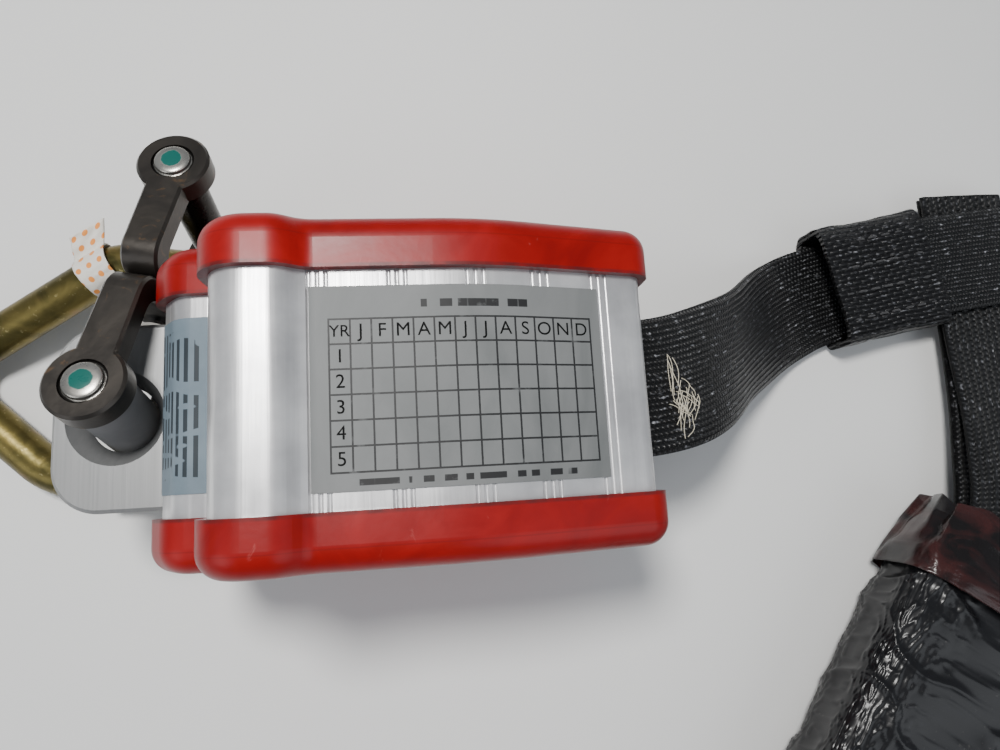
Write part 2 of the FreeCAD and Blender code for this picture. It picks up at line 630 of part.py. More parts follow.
def make_swivel():
    gap, height = size("jaw_gap"), size("jaw_height")
    pin_radius, rivet = size("jaw_pin_radius"), size("rivet_radius")
    running = size("running_gap")
    inner = size("jaw_reach") - size("jaw_crown")
    for name, frame, bore in (("lower_jaw", LOWER_FRAME, rivet), ("upper_jaw", UPPER_FRAME, rivet + running)):
        body = make_jaw(name)
        hole = cylinder(f"{name}_rivet_bore", bore, 12, Vector(0, inner - 4, 0))
        jaw = cut(f"{name}_cut", body, hole)
        jaw = chamfered(f"{name}_edges", jaw, 0.5, lambda edge: (
            abs(abs(edge.CenterOfMass.z) - height / 2) < 0.01 and edge.BoundBox.ZLength < 0.01
            and edge.Length > 4 and abs(edge.CenterOfMass.y) < 14 and
            math.hypot(edge.CenterOfMass.x, edge.CenterOfMass.y) > 1.0))
        jaw.Placement = frame
        label(jaw, name)
        foot = Vector(0, 0, -height / 2 - 0.1)
        stem = cylinder(f"{name}_pin_stem", "jaw_pin_radius", height + 0.2, foot, AXIS_Z)
        heads = []
        for i, way in enumerate((1, -1)):
            cone = doc.addObject("Part::Cone", f"{name}_pin_head_{i}")
            cone.Radius1 = 4.2
            cone.Radius2 = 3.0
            cone.Height = 1.0
            cone.Placement = turned(Vector(0, 0, way * height / 2), AXIS_Z * way)
            heads.append(cone)
        pin = fuse(f"{name}_pin_all", stem, *heads)
        pin.Placement = frame
        label(pin, name.replace("jaw", "pin"))
    foot = Vector(0, 0, -gap / 2 + 0.3)
    sleeve = cut("sleeve_cut", cylinder("sleeve_body", "sleeve_radius", gap - 0.6, foot, AXIS_Z),
                 cylinder("sleeve_bore", "jaw_pin_radius + running_gap", 40, Vector(0, 0, -20), AXIS_Z))
    sleeve.Placement = LOWER_FRAME
    label(sleeve, "anchor_sleeve")
    # the rivet is headed inside the lower jaw and carries the upper jaw on a washer under its far head
    span = 2 * size("jaw_crown") + size("swivel_gap")
    stem = cylinder("rivet_stem", "rivet_radius", span + 0.1, Vector(0, inner, 0))
    near = cylinder("rivet_near_head", 3.6, 0.8, Vector(0, inner - 0.8, 0))
    far = cylinder("rivet_far_head", 4.0, 1.1, Vector(0, inner + span + 0.1, 0))
    rivet_all = fuse("rivet_all", stem, near, far)
    rivet_all = rounded("rivet_round", rivet_all, 0.7, lambda edge: (
        edge.BoundBox.YLength < 1e-6 and abs(edge.BoundBox.XLength - 8.0) < 0.01
        and edge.CenterOfMass.y > inner + span + 1))
    rivet_all.Placement = LOWER_FRAME
    label(rivet_all, "swivel_rivet")
    washer = ring("washer", 4.3, "rivet_radius", 0.2, Vector(0, size("jaw_reach"), 0))
    washer.Placement = LOWER_FRAME
    label(washer, "swivel_washer")


# ---- the carabiner lies across the jaw's window, its gate side on the table ----
ROD = size("rod_radius")
JAW_FLOOR = 1.2                   # the rod's clearance above the jaw's far arm
WINDOW = LOWER_FRAME.multVec(Vector(0, PIN_SPAN - size("jaw_pin_radius") - ROD - 0.6,
                                    -size("jaw_gap") / 2 + ROD + JAW_FLOOR))
NOSE = Vector(-63.7, -14.6, ROD + TABLE_TOUCH)
FAR_END = Vector(-93.7, 9.9, ROD + TABLE_TOUCH)
CLIP_NORMAL = (WINDOW - NOSE).cross(FAR_END - NOSE).normalize()
if CLIP_NORMAL.z < 0:
    CLIP_NORMAL = CLIP_NORMAL * -1


def on_clip(x, y):
    """The point of the carabiner's plane above (x, y)."""
    away = Vector(x, y, 0) - NOSE
    return Vector(x, y, NOSE.z - (CLIP_NORMAL.x * away.x + CLIP_NORMAL.y * away.y) / CLIP_NORMAL.z)


# the rod's route in plan, from the gate's hinge round the jaw's window and the far bow to the nose
BOW_X = -32.1
BEND = (-56.0, 36.8)
BEND_SLOPE = (BEND[1] - WINDOW.y) / (BEND[0] - WINDOW.x)
CLIP_ROUTE = [(-38.1, -12.2), (BOW_X, -12.4), (BOW_X, WINDOW.y + (BOW_X - WINDOW.x) * BEND_SLOPE), BEND,
              (-97.3, 15.0), (-73.5, -7.1), (-63.5, -11.0)]
CLIP_RADII = [5.4, 6.4, 8.0, 8.5, 16.0]
TONGUE_SLOT = 3.4
TONGUE = 2.8
GATE_PIN = 1.5
GATE_PIN_BACK = 1.4               # the gate's pin sits this far behind the rod's hinge end
TAPE_BACK = 6.8                   # the tape's middle, from the bend
TAPE_WIDTH = 7.4


def make_carabiner():
    points = [on_clip(x, y) for x, y in CLIP_ROUTE]
    body = feature("carabiner_rod", pipe(points, CLIP_RADII, ROD))
    hinge, nose = points[0], points[-1]
    gate_frame = clip_frame(hinge, (nose - hinge).normalize())
    gate_length = (nose - hinge).Length
    pin_base = Vector(-GATE_PIN_BACK, 0, -10)
    hinge_slot = centred_box("hinge_slot", (9.4, 12.0, TONGUE_SLOT), ORIGIN)
    nose_slot = centred_box("nose_slot", (6.0, 12.0, TONGUE_SLOT), Vector(gate_length + 1.0, 0, 0))
    pin_hole = cylinder("gate_pin_hole", GATE_PIN, 20, pin_base, AXIS_Z)
    for tool in (hinge_slot, nose_slot, pin_hole):
        tool.Placement = gate_frame * tool.Placement
    label(cut("carabiner_cut", body, hinge_slot, nose_slot, pin_hole), "carabiner_body")

    # the gate: a round bar with a flat tongue at each end, bored for its spring
    bar = cylinder("gate_bar", "gate_radius", gate_length - 5.2, Vector(2.6, 0, 0), AXIS_X)
    root = cylinder("gate_root", 2.9, TONGUE, Vector(-GATE_PIN_BACK, 0, -TONGUE / 2), AXIS_Z)
    neck = centred_box("gate_neck", (5.0, 5.0, TONGUE), Vector(1.0, 0, 0))
    tip = centred_box("gate_tip", (5.6, 5.4, TONGUE), Vector(gate_length - 0.8, 0, 0))
    spring_room = cylinder("gate_spring_room", 1.7, 9.0, Vector(6.0, 0, 0), AXIS_X)
    pin_bore = cylinder("gate_pin_bore", GATE_PIN + size("running_gap"), 20, pin_base, AXIS_Z)
    gate = cut("gate_cut", fuse("gate_solid", bar, root, neck, tip), spring_room, pin_bore)
    spring = ring("gate_spring_coil", 1.5, 0.8, 8.4, Vector(6.3, 0, 0), AXIS_X)
    sleeve = ring("gate_sleeve_tube", 5.0, "gate_radius + running_gap", 13.0, Vector(9.0, 0, 0), AXIS_X)
    pin = cylinder("gate_pin_rod", GATE_PIN, 8.6, Vector(-GATE_PIN_BACK, 0, -4.3), AXIS_Z)
    pieces = {"carabiner_gate": gate, "gate_spring": spring, "gate_sleeve": sleeve, "gate_pin": pin}
    for name, thing in pieces.items():
        thing.Placement = gate_frame * thing.Placement
        label(thing, name)

    # adhesive tape wrapped round the spine, its two ends pressed together into a flag
    along = (points[4] - points[3]).normalize()
    wrap = ring("tape_wrap", ROD + 0.3, ROD, TAPE_WIDTH, Vector(-TAPE_WIDTH / 2, 0, 0), AXIS_X)
    tail = centred_box("tape_tail", (TAPE_WIDTH, 8.0, 0.5), Vector(0, -ROD - 2.4, 3.2), Rotation(AXIS_X, -35))
    bore = cylinder("tape_bore", ROD, 20, Vector(-10, 0, 0), AXIS_X)
    tape = cut("tape_cut", fuse("tape_all", wrap, tail), bore)
    tape.Placement = clip_frame(points[3] + along * TAPE_BACK, along)
    label(tape, "tape_flag")


def clip_frame(base, along):
    """A frame in the carabiner's plane: X along the rod, Z out of the plane, Y across."""
    up = CLIP_NORMAL
    side = up.cross(along).normalize()
    turn = Matrix(along.x, side.x, up.x, 0, along.y, side.y, up.y, 0, along.z, side.z, up.z, 0, 0, 0, 0, 1)
    return Placement(base, Placement(turn).Rotation)


ARC_SHARE = 0.45                  # of the shorter run on each side, kept for a bend's arc


def soft_route(name, corners):
    """Straight runs joined by tangent arcs: points, directions and the corner each belongs to."""
    samples = [(corners[0], (corners[1] - corners[0]).normalize(), 0)]
    radii = []
    length = 0.0
    last = corners[0]
    for index in range(1, len(corners) - 1):
        corner = corners[index]
        back, ahead = corners[index - 1] - corner, corners[index + 1] - corner
        reach = ARC_SHARE * min(back.Length, ahead.Length)
        back, ahead = back.normalize(), ahead.normalize()
        turn = math.pi - math.acos(max(-1.0, min(1.0, back.dot(ahead))))
        radius = reach / math.tan(turn / 2)
        radii.append(round(radius, 2))
        start = corner + back * reach
        steps = max(2, math.ceil(turn / math.radians(16)))
        inward = (back + ahead).normalize()
        centre = corner + inward * math.hypot(reach, radius)
        axis = back.cross(ahead).normalize() * -1
        for step in range(steps + 1):
            swing = Rotation(axis, math.degrees(turn) * step / steps)
            samples.append((centre + swing.multVec(start - centre), swing.multVec(back * -1), index))
        length += (start - last).Length + radius * turn
        last = corner + ahead * reach
    length += (corners[-1] - last).Length
    samples.append((corners[-1], (corners[-1] - corners[-2]).normalize(), len(corners) - 1))
    print(name, "arc radii", radii, "length", round(length, 1))
    return samples


def ribbon(name, corners, across, width, thickness, roll=None):
    """A flat band along the route. across is its width's direction, rolled by roll degrees at each corner."""
    sections = []
    for point, along, index in soft_route(name, corners):
        wide = across if roll is None else Rotation(along, -roll[index]).multVec(across)
        side = (wide - along * wide.dot(along)).normalize() * (width / 2)
        up = along.cross(side).normalize() * (thickness / 2)
        outline = [point + side + up, point - side + up, point - side - up, point + side - up]
        sections.append(Part.makePolygon(outline + outline[:1]))
    return Part.makeLoft(sections, True, True)


# ---- the lifeline leaves the nozzle, drops to the table and folds back through the pack's web loop ----
STRAP_ROUTE = [Vector(*point) for point in (
    (44.0, 0.0, 44.6), (54.0, 0.0, 44.6), (70.0, 5.6, 36.0), (86.0, 14.8, 16.0), (98.0, 22.0, 4.6),
    (110.0, 27.6, 3.0), (145.0, 34.0, 3.0), (171.5, 36.8, 3.0), (171.5, 36.8, 9.6), (133.0, 31.9, 9.6))]
STRAP_ROLL = (0, 0, 8, 16, 5, 0, 0, 0, 0, 0)
STRAP_ACROSS = Vector(-0.16, 0.987, 0)
SLEEVE_MIDDLE = Vector(124.5, 30.25, 6.5)
SLEEVE_SIZE = (27.0, 29.4, 12.2)
SLEEVE_WALL = 1.3
STITCH_ROWS = (-9.6, -3.2, 3.2, 9.6)
STITCHES = 6
STITCH_PITCH = 3.6


def make_strap():
    width, thickness = size("web_width"), size("strap_thickness")
    band = ribbon("lifeline_strap", STRAP_ROUTE, STRAP_ACROSS, width, thickness, STRAP_ROLL)
    label(feature("strap_band", band), "lifeline_strap")
    # the sewn end: a wear sleeve of coarser webbing round both layers, stitched in rows
    heading = (STRAP_ROUTE[6] - STRAP_ROUTE[5]).normalize()
    heading.z = 0
    turn = Rotation(AXIS_X, heading)
    outer = centred_box("sleeve_outer", SLEEVE_SIZE, SLEEVE_MIDDLE, turn)
    outer = rounded("sleeve_soft", outer, 2.0, lambda edge: (
        edge.BoundBox.ZLength < 0.01 and edge.Length < SLEEVE_SIZE[0] + 0.5))
    room = (SLEEVE_SIZE[0] + 10, SLEEVE_SIZE[1] - 2 * SLEEVE_WALL, SLEEVE_SIZE[2] - 2 * SLEEVE_WALL)
    inside = centred_box("sleeve_room", room, SLEEVE_MIDDLE, turn)
    label(cut("strap_sleeve_cut", outer, inside), "strap_end_sleeve")
    stitches = []
    top = Vector(0, 0, SLEEVE_SIZE[2] / 2 + 0.25)
    for row_at in STITCH_ROWS:
        for step in range(STITCHES):
            forward = (step - (STITCHES - 1) / 2) * STITCH_PITCH
            spot = SLEEVE_MIDDLE + turn.multVec(Vector(forward, row_at, 0)) + top
            stitches.append(centred_box(f"stitch_{len(stitches)}", (2.2, 0.7, 0.5), spot, turn))
    label(group("stitching_all", *stitches), "strap_stitching")


# ---- the shock pack: a stack of folded tear webbing in shrink film, a web loop at each end ----
PACK_TURN = Rotation(AXIS_Z, -125.0)
PACK_TOP = Vector(141.0, -42.0, 0.6)
PACK_FRAME = Placement(PACK_TOP, PACK_TURN)
FILM = 0.7
FILM_ROUND = 6.0
CUFF = (-7.0, 12.0)               # the clear cuff's ends, along the pack
LOOP_THICKNESS = 2.4


def on_pack(x, y, z):
    return PACK_FRAME.multVec(Vector(x, y, z))


def pack_block(name, start, end, wide, tall, radius):
    """A rounded block of the pack: ends along it, full width, bottom and top above its own base."""
    low, high = tall
    block = box(name, (end - start, wide, high - low), Placement(Vector(start, -wide / 2, low), Rotation()))
    return rounded(f"{name}_round", block, radius, lambda edge: True)


def make_pack():
    length, width, height = size("pack_length"), size("pack_width"), size("pack_height")
    core = pack_block("pack_core_block", 4.0, length - 4.0, width - 6.0, (3.0, height - 3.0), 3.0)
    inside = width - 2 * FILM
    room = pack_block("pack_room", FILM, length - FILM, inside, (FILM, height - FILM), FILM_ROUND - FILM)
    skin = pack_block("pack_skin", 0.0, length, width, (0.0, height), FILM_ROUND)
    mouths = [centred_box(f"pack_mouth_{i}", (4.0, 31.0, 3.6), Vector(x, 0, height / 2))
              for i, x in enumerate((0.0, length))]
    cuff = box("cuff_block", (CUFF[1] - CUFF[0], width + 1.2, height + 1.2),
               Placement(Vector(CUFF[0], -width / 2 - 0.6, -0.6), Rotation()))
    cuff = rounded("cuff_round", cuff, FILM_ROUND + 0.6, lambda edge: edge.Length > CUFF[1] - CUFF[0] - 0.01
                   and edge.BoundBox.XLength > 1)
    cuff_room = box("cuff_room", (CUFF[1] - CUFF[0] + 4, width + 0.1, height + 0.1),
                    Placement(Vector(CUFF[0] - 2, -width / 2 - 0.05, -0.05), Rotation()))
    cuff_room = rounded("cuff_room_round", cuff_room, FILM_ROUND, lambda edge: edge.BoundBox.XLength > 1
                        and edge.BoundBox.YLength < 1 and edge.BoundBox.ZLength < 1)
    pieces = {"pack_core": core, "pack_wrap": cut("pack_skin_cut", skin, room, *mouths),
              "pack_cuff": cut("cuff_cut", cuff, cuff_room)}
    for name, thing in pieces.items():
        thing.Placement = PACK_FRAME * thing.Placement
        label(thing, name)

    half = height / 2
    upper = [on_pack(3.6, 0, half), on_pack(-8.0, 0, half),
             Vector(152.6, -8.0, 6.4), Vector(153.8, 20.0, 6.0),
             Vector(153.0, 52.0, 6.0)]
    label(feature("upper_loop_band", ribbon("pack_upper_loop", upper, Vector(1, 0, 0), 24.0, LOOP_THICKNESS)),
          "pack_upper_loop")
    lower = [on_pack(length + x, 0, z) for x, z in (
        (-3.6, half), (5.0, half), (12.0, 3.3), (22.2, 3.3), (22.2, 16.0), (12.0, 16.0), (6.5, 14.8))]
    label(feature("lower_loop_band", ribbon("pack_lower_loop", lower, PACK_TURN.multVec(AXIS_Y), 19.0, 2.2)),
          "pack_lower_loop")


# ---- the far end: a locking snap hook in the pack's lower loop ----
HOOK_FRAME = Placement(on_pack(size("pack_length") + 19.5, 0.0, 9.6), PACK_TURN * Rotation(AXIS_Y, 3.1))
GATE_PIVOT = Vector(35.0, -10.0, 0)
LEVER_PIVOT = Vector(48.0, 13.0, 0)


def make_hook():
    corners = [(30.0, -14.0, 3.0), (10.0, -13.0, 8.0), (-6.0, -15.0, 5.0), (-6.0, 15.0, 5.0),
               (12.0, 14.0, 8.0),
               (38.0, 16.0, 12.0), (80.0, 17.0, 14.0), (92.0, 2.0, 16.0), (86.0, -18.0, 9.0),
               (68.0, -17.0, 2.0),
               (66.5, -8.0, 2.5), (79.0, -7.0, 4.0), (80.0, 5.5, 8.0), (44.0, 5.0, 10.0), (30.0, -3.0, 6.0)]
    body = outline_body("hook_plate", corners, "hook_thickness", "XY_Plane", True)
    pocket(body, "hook_eye", "XY_Plane", round_corners(
        [(-1.0, -10.4, 2.5), (6.5, -10.4, 2.5), (6.5, 10.4, 2.5), (-1.0, 10.4, 2.5)]))
    doc.recompute()
    body = rounded("hook_soft", body, 1.6, lambda edge: (
        abs(abs(edge.CenterOfMass.z) - 5.0) < 0.01 and edge.BoundBox.ZLength < 0.01
        and (edge.BoundBox.XMax < 29 or edge.BoundBox.XMin > 62) and edge.Length > 3.0))
    gate_room = centred_box("hook_gate_room", (17.0, 13.0, 6.8), Vector(35.5, -11.0, 0))
    lever_room = centred_box("hook_lever_room", (17.0, 13.0, 4.6), Vector(48.0, 13.6, 0))
    gate_hole = cylinder("hook_gate_hole", 1.6, 20, GATE_PIVOT - AXIS_Z * 10, AXIS_Z)
    lever_hole = cylinder("hook_lever_hole", 1.4, 20, LEVER_PIVOT - AXIS_Z * 10, AXIS_Z)
    hook = cut("hook_cut", body, gate_room, lever_room, gate_hole, lever_hole)
    gate = outline_body("hook_gate_plate", [
        (32.0, -13.6, 2.8), (32.0, -6.6, 2.8), (65.6, -9.4, 1.2), (66.0, -14.6, 1.2),
        (46.0, -15.6, 6.0)], 6.0, "XY_Plane", True, [(GATE_PIVOT.x, GATE_PIVOT.y, 1.65)])
    lever = outline_body("hook_lever_plate", [
        (44.0, 10.4, 1.8), (52.0, 10.4, 1.8), (52.6, 17.2, 1.0), (63.0, 18.4, 1.0), (63.0, 21.4, 1.4),
        (48.0, 21.8, 12.0), (34.0, 20.6, 1.4), (34.0, 18.0, 1.0), (43.4, 17.2, 1.0)],
        4.0, "XY_Plane", True, [(LEVER_PIVOT.x, LEVER_PIVOT.y, 1.45)])
    pins = group("hook_pins_all", cylinder("hook_gate_pin", 1.6, 11.0, GATE_PIVOT - AXIS_Z * 5.5, AXIS_Z),
                 cylinder("hook_lever_pin", 1.4, 11.0, LEVER_PIVOT - AXIS_Z * 5.5, AXIS_Z))
    for thing, name in ((hook, "hook_body"), (gate, "hook_gate"), (lever, "hook_lever"), (pins, "hook_pins")):
        thing.Placement = HOOK_FRAME * thing.Placement
        label(thing, name)


def make_screws():
    """Pan-headed screws through the bumpers into the frame's corners, both sides."""
    half = size("cap_half_width")
    screws = []
    for x, z in SCREW_SPOTS:
        for way in (1, -1):
            at = Vector(x, way * (half - 1.25), z)
            head = cylinder(f"screw_head_{len(screws)}", 2.8, 1.2, at, AXIS_Y * way)
            stem = cylinder(f"screw_stem_{len(screws)}", 1.4, 1.8, at - AXIS_Y * way * 1.6, AXIS_Y * way)
            cross = [centred_box(f"screw_slot_{len(screws)}_{i}", lengths, at + AXIS_Y * way * 1.1)
                     for i, lengths in enumerate(((3.6, 1.0, 0.7), (0.7, 1.0, 3.6)))]
            screws.append(cut(f"screw_{len(screws)}", fuse(f"screw_solid_{len(screws)}", head, stem), *cross))
    label(group("bumper_screws_all", *screws), "bumper_screws")


doc.recompute()
make_shells()
make_bumper("bumper_upper", 1)
make_bumper("bumper_lower", -1)
make_frame()
make_spool()
make_ratchet()
make_power_spring()
make_nozzle()
make_labels()
make_anchor_plate()
make_swivel()
make_carabiner()
make_screws()
make_strap()
make_pack()
make_hook()
doc.recompute()


def check_and_write():
    os.makedirs("parts", exist_ok=True)
    failed = [item.Name for item in doc.Objects if {"Invalid", "Error"} & set(item.State)]
    if failed:
        raise RuntimeError(f"failed objects: {failed}")
    names = [part.Label for part in PARTS]
    if len(set(names)) != len(names):
        raise RuntimeError("a node's name is used twice")
    for part in PARTS:
        shape = part.Shape
        if shape.isNull() or not shape.isValid() or not shape.Solids:
            raise RuntimeError(f"{part.Label} has no valid solid")
    for part in PARTS:
        part.Shape.exportStep(f"parts/{part.Label}.step")
    print(len(PARTS), "parts written")


check_and_write()
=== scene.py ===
import math
import random

import bmesh
import bpy
from mathutils import Matrix, Vector, noise
from mathutils.bvhtree import BVHTree


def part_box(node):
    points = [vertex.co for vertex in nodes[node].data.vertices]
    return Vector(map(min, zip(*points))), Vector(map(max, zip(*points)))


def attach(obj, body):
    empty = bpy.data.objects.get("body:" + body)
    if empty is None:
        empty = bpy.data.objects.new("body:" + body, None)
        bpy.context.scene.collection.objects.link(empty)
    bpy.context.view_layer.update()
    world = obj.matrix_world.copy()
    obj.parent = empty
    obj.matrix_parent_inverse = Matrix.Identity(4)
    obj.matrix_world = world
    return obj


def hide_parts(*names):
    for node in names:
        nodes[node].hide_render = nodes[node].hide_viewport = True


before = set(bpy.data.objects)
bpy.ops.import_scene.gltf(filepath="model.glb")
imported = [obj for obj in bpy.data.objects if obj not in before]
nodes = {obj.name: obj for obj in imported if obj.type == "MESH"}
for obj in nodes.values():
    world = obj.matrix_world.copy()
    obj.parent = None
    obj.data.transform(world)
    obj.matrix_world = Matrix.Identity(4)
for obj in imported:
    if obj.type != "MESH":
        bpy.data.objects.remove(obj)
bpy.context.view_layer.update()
MM = 0.001
rng = random.Random(7)


# ---------------------------------------------------------------- materials
class Kit:
    """A material's node tree, with short calls for what most of them need."""

    def __init__(self, name, color, metallic, rough, **sockets):
        self.mat = bpy.data.materials.new(name)
        self.mat.use_nodes = True
        self.tree = self.mat.node_tree
        self.bsdf = self.tree.nodes["Principled BSDF"]
        self.bsdf.inputs["Base Color"].default_value = (*color, 1.0)
        self.bsdf.inputs["Metallic"].default_value = metallic
        self.bsdf.inputs["Roughness"].default_value = rough
        for key, value in sockets.items():
            self.bsdf.inputs[key.replace("_", " ")].default_value = value
        self.coords = self.tree.nodes.new("ShaderNodeTexCoord")
        self.mat.diffuse_color = (*color, 1.0)

    def put(self, socket, value):
        """Links a socket to another node's output, or sets its value."""
        if hasattr(value, "links"):
            self.tree.links.new(value, socket)
        else:
            socket.default_value = value

    def math(self, op, a, b=0.0, c=0.0, clamp=False):
        node = self.tree.nodes.new("ShaderNodeMath")
        node.operation = op
        node.use_clamp = clamp
        for socket, value in zip(node.inputs, (a, b, c)):
            self.put(socket, value)
        return node.outputs[0]

    def vector(self, op, a, b=(0, 0, 0)):
        node = self.tree.nodes.new("ShaderNodeVectorMath")
        node.operation = op
        self.put(node.inputs[0], a)
        node.inputs[1].default_value = b
        return node

    def split(self, space="Object"):
        """The place's x, y and z."""
        node = self.tree.nodes.new("ShaderNodeSeparateXYZ")
        self.put(node.inputs[0], self.mapped(space))
        return node.outputs

    def mapped(self, space="Object", scale=(1, 1, 1), turn=(0, 0, 0)):
        node = self.tree.nodes.new("ShaderNodeMapping")
        node.inputs["Scale"].default_value = scale
        node.inputs["Rotation"].default_value = turn
        self.put(node.inputs["Vector"], self.coords.outputs[space])
        return node.outputs[0]

    def noise(self, scale, detail=3.0, stretch=(1, 1, 1), rough=0.55, space="Object", turn=(0, 0, 0),
              warp=0.0):
        node = self.tree.nodes.new("ShaderNodeTexNoise")
        node.inputs["Scale"].default_value = scale
        node.inputs["Detail"].default_value = detail
        node.inputs["Roughness"].default_value = rough
        node.inputs["Distortion"].default_value = warp
        self.put(node.inputs["Vector"], self.mapped(space, stretch, turn))
        return node.outputs["Fac"]

    def ramp(self, fac, *stops):
        """A grey value that runs through the stops, each one a place and a grey."""
        node = self.tree.nodes.new("ShaderNodeValToRGB")
        elements = node.color_ramp.elements
        for element, (at, grey) in zip(elements, stops):
            element.position = at
            element.color = (grey, grey, grey, 1.0)
        self.put(node.inputs["Fac"], fac)
        return node.outputs["Color"]

    def mix(self, fac, a, b):
        """Colour a where fac is 0 and colour b where it is 1."""
        node = self.tree.nodes.new("ShaderNodeMix")
        node.data_type = "RGBA"
        self.put(node.inputs["Factor"], fac)
        for socket, value in ((node.inputs[6], a), (node.inputs[7], b)):
            self.put(socket, (*value, 1.0) if isinstance(value, tuple) and len(value) == 3 else value)
        return node.outputs[2]

    def between(self, value, low, high, soft):
        """1 where low < value < high, with soft edges."""
        rise = self.math("DIVIDE", self.math("SUBTRACT", value, low), soft, clamp=True)
        fall = self.math("DIVIDE", self.math("SUBTRACT", high, value), soft, clamp=True)
        return self.math("MULTIPLY", rise, fall)

    def color(self, value):
        self.put(self.bsdf.inputs["Base Color"], value)
        return self

    def rough(self, fac, low, high):
        self.put(self.bsdf.inputs["Roughness"], self.math("MULTIPLY_ADD", fac, high - low, low))
        return self

    def bump(self, height, depth, strength=1.0):
        """Adds relief of the given depth on top of any that is there already."""
        node = self.tree.nodes.new("ShaderNodeBump")
        node.inputs["Strength"].default_value = strength
        node.inputs["Distance"].default_value = depth
        self.put(node.inputs["Height"], height)
        previous = self.bsdf.inputs["Normal"]
        if previous.is_linked:
            self.put(node.inputs["Normal"], previous.links[0].from_socket)
        self.put(previous, node.outputs[0])
        return self


def lines(kit, axis_scale, pitch):
    """Fine machined lines: noise drawn out along the axes whose scale is small."""
    return kit.noise(1.0 / pitch, 2.0, axis_scale)


def extruded_aluminium():
    """Bright extrusion: fine lines along the shells, soft blotches and a few scratches."""
    kit = Kit("extruded_aluminium", (0.62, 0.62, 0.63), 0.62, 0.4)
    grain = lines(kit, (1.0, 0.02, 1.0), 0.0007)
    blotch = kit.noise(90.0, 4.0)
    scratch = kit.noise(260.0, 2.0, (1.0, 0.05, 1.0), turn=(0, 0, 0.5))
    cut = kit.ramp(scratch, (0.66, 0.0), (0.70, 1.0))
    tone = kit.mix(kit.ramp(blotch, (0.35, 0.0), (0.7, 1.0)), (0.50, 0.50, 0.51), (0.74, 0.74, 0.745))
    kit.color(kit.mix(cut, tone, (0.80, 0.80, 0.80)))
    kit.rough(grain, 0.24, 0.42)
    return kit.bump(grain, 0.00004, 0.6).bump(cut, 0.00003, 0.4).mat


def milled_aluminium():
    """Dull grey, with the fine lines of a milling cutter."""
    kit = Kit("milled_aluminium", (0.3, 0.3, 0.3), 0.5, 0.42)
    grain = lines(kit, (1.0, 0.015, 0.3), 0.0009)
    fine = lines(kit, (1.0, 0.03, 0.3), 0.0003)
    kit.color(kit.mix(grain, (0.23, 0.235, 0.235), (0.33, 0.33, 0.33)))
    kit.rough(fine, 0.34, 0.5)
    return kit.bump(grain, 0.00003, 0.6).bump(fine, 0.00002, 0.5).mat


CAP_RIM = (0.0170, 0.0190)
PARTING_LINE = (0.02335, 0.02365)


def bumper_red():
    """Satin red, with painted shade along the rims against the shells, broken up by noise, and a faint
    parting line round each cap.
    """
    kit = Kit("bumper_red", (0.4, 0.004, 0.004), 0.0, 0.3, Specular_IOR_Level=0.32)
    peel = kit.noise(420.0, 2.0)
    smear = kit.noise(70.0, 5.0, warp=1.2)
    axes = kit.split()
    depth = kit.math("ABSOLUTE", axes[1])
    edge = kit.between(depth, *CAP_RIM, 0.0003)
    # painted shade: darker red along the rims where the caps meet the shells, broken up by noise
    painted_rim_shade = kit.math("MULTIPLY", edge, kit.ramp(kit.noise(300.0, 4.0), (0.3, 0.2), (0.6, 1.0)))
    red = kit.mix(kit.ramp(smear, (0.3, 0.0), (0.75, 1.0)), (0.19, 0.0012, 0.0016), (0.29, 0.0022, 0.0022))
    scuff = kit.ramp(kit.noise(190.0, 6.0, (1, 0.4, 1), warp=2.0), (0.70, 0.0), (0.76, 1.0))
    red = kit.mix(kit.math("MULTIPLY", scuff, 0.25), red, (0.75, 0.25, 0.22))
    line = kit.between(depth, *PARTING_LINE, 0.00008)
    red = kit.mix(kit.math("MULTIPLY", line, 0.5), red, (0.16, 0.002, 0.002))
    # the painted rim shade darkens the red towards (0.05, 0.01, 0.01)
    kit.color(kit.mix(kit.math("MULTIPLY", painted_rim_shade, 0.75), red, (0.05, 0.01, 0.01)))
    kit.rough(smear, 0.26, 0.46)
    return kit.bump(peel, 0.00006, 0.35).bump(smear, 0.0004, 0.12).mat


def forged_dark():
    """Dark oxide on a forging, stained, with a few spots of rust."""
    kit = Kit("forged_dark_oxide", (0.045, 0.04, 0.036), 0.75, 0.34)
    cast = kit.noise(520.0, 5.0)
    stain = kit.noise(120.0, 4.0, warp=0.8)
    rust = kit.ramp(kit.noise(230.0, 6.0, warp=1.5), (0.62, 0.0), (0.72, 1.0))
    tone = kit.mix(stain, (0.022, 0.021, 0.021), (0.085, 0.074, 0.062))
    kit.color(kit.mix(kit.math("MULTIPLY", rust, 0.45), tone, (0.20, 0.115, 0.055)))
    kit.rough(stain, 0.22, 0.5)
    return kit.bump(cast, 0.00012, 0.4).mat


def zinc_dichromate():
    """Olive gold plating, greener in places and pinkish in others."""
    kit = Kit("olive_gold_zinc", (0.34, 0.27, 0.08), 0.9, 0.34)
    broad = kit.noise(95.0, 4.0, warp=1.0)
    fine = kit.noise(900.0, 4.0)
    green = kit.mix(kit.ramp(broad, (0.34, 0.0), (0.66, 1.0)), (0.060, 0.056, 0.020), (0.215, 0.170, 0.055))
    pink = kit.ramp(kit.noise(150.0, 2.0), (0.58, 0.0), (0.74, 1.0))
    green = kit.mix(kit.math("MULTIPLY", pink, 0.3), green, (0.30, 0.14, 0.09))
    kit.color(kit.mix(kit.ramp(fine, (0.62, 0.0), (0.8, 1.0)), green, (0.50, 0.42, 0.20)))
    kit.rough(fine, 0.26, 0.5)
    return kit.bump(fine, 0.00008, 0.5).bump(broad, 0.0004, 0.15).mat


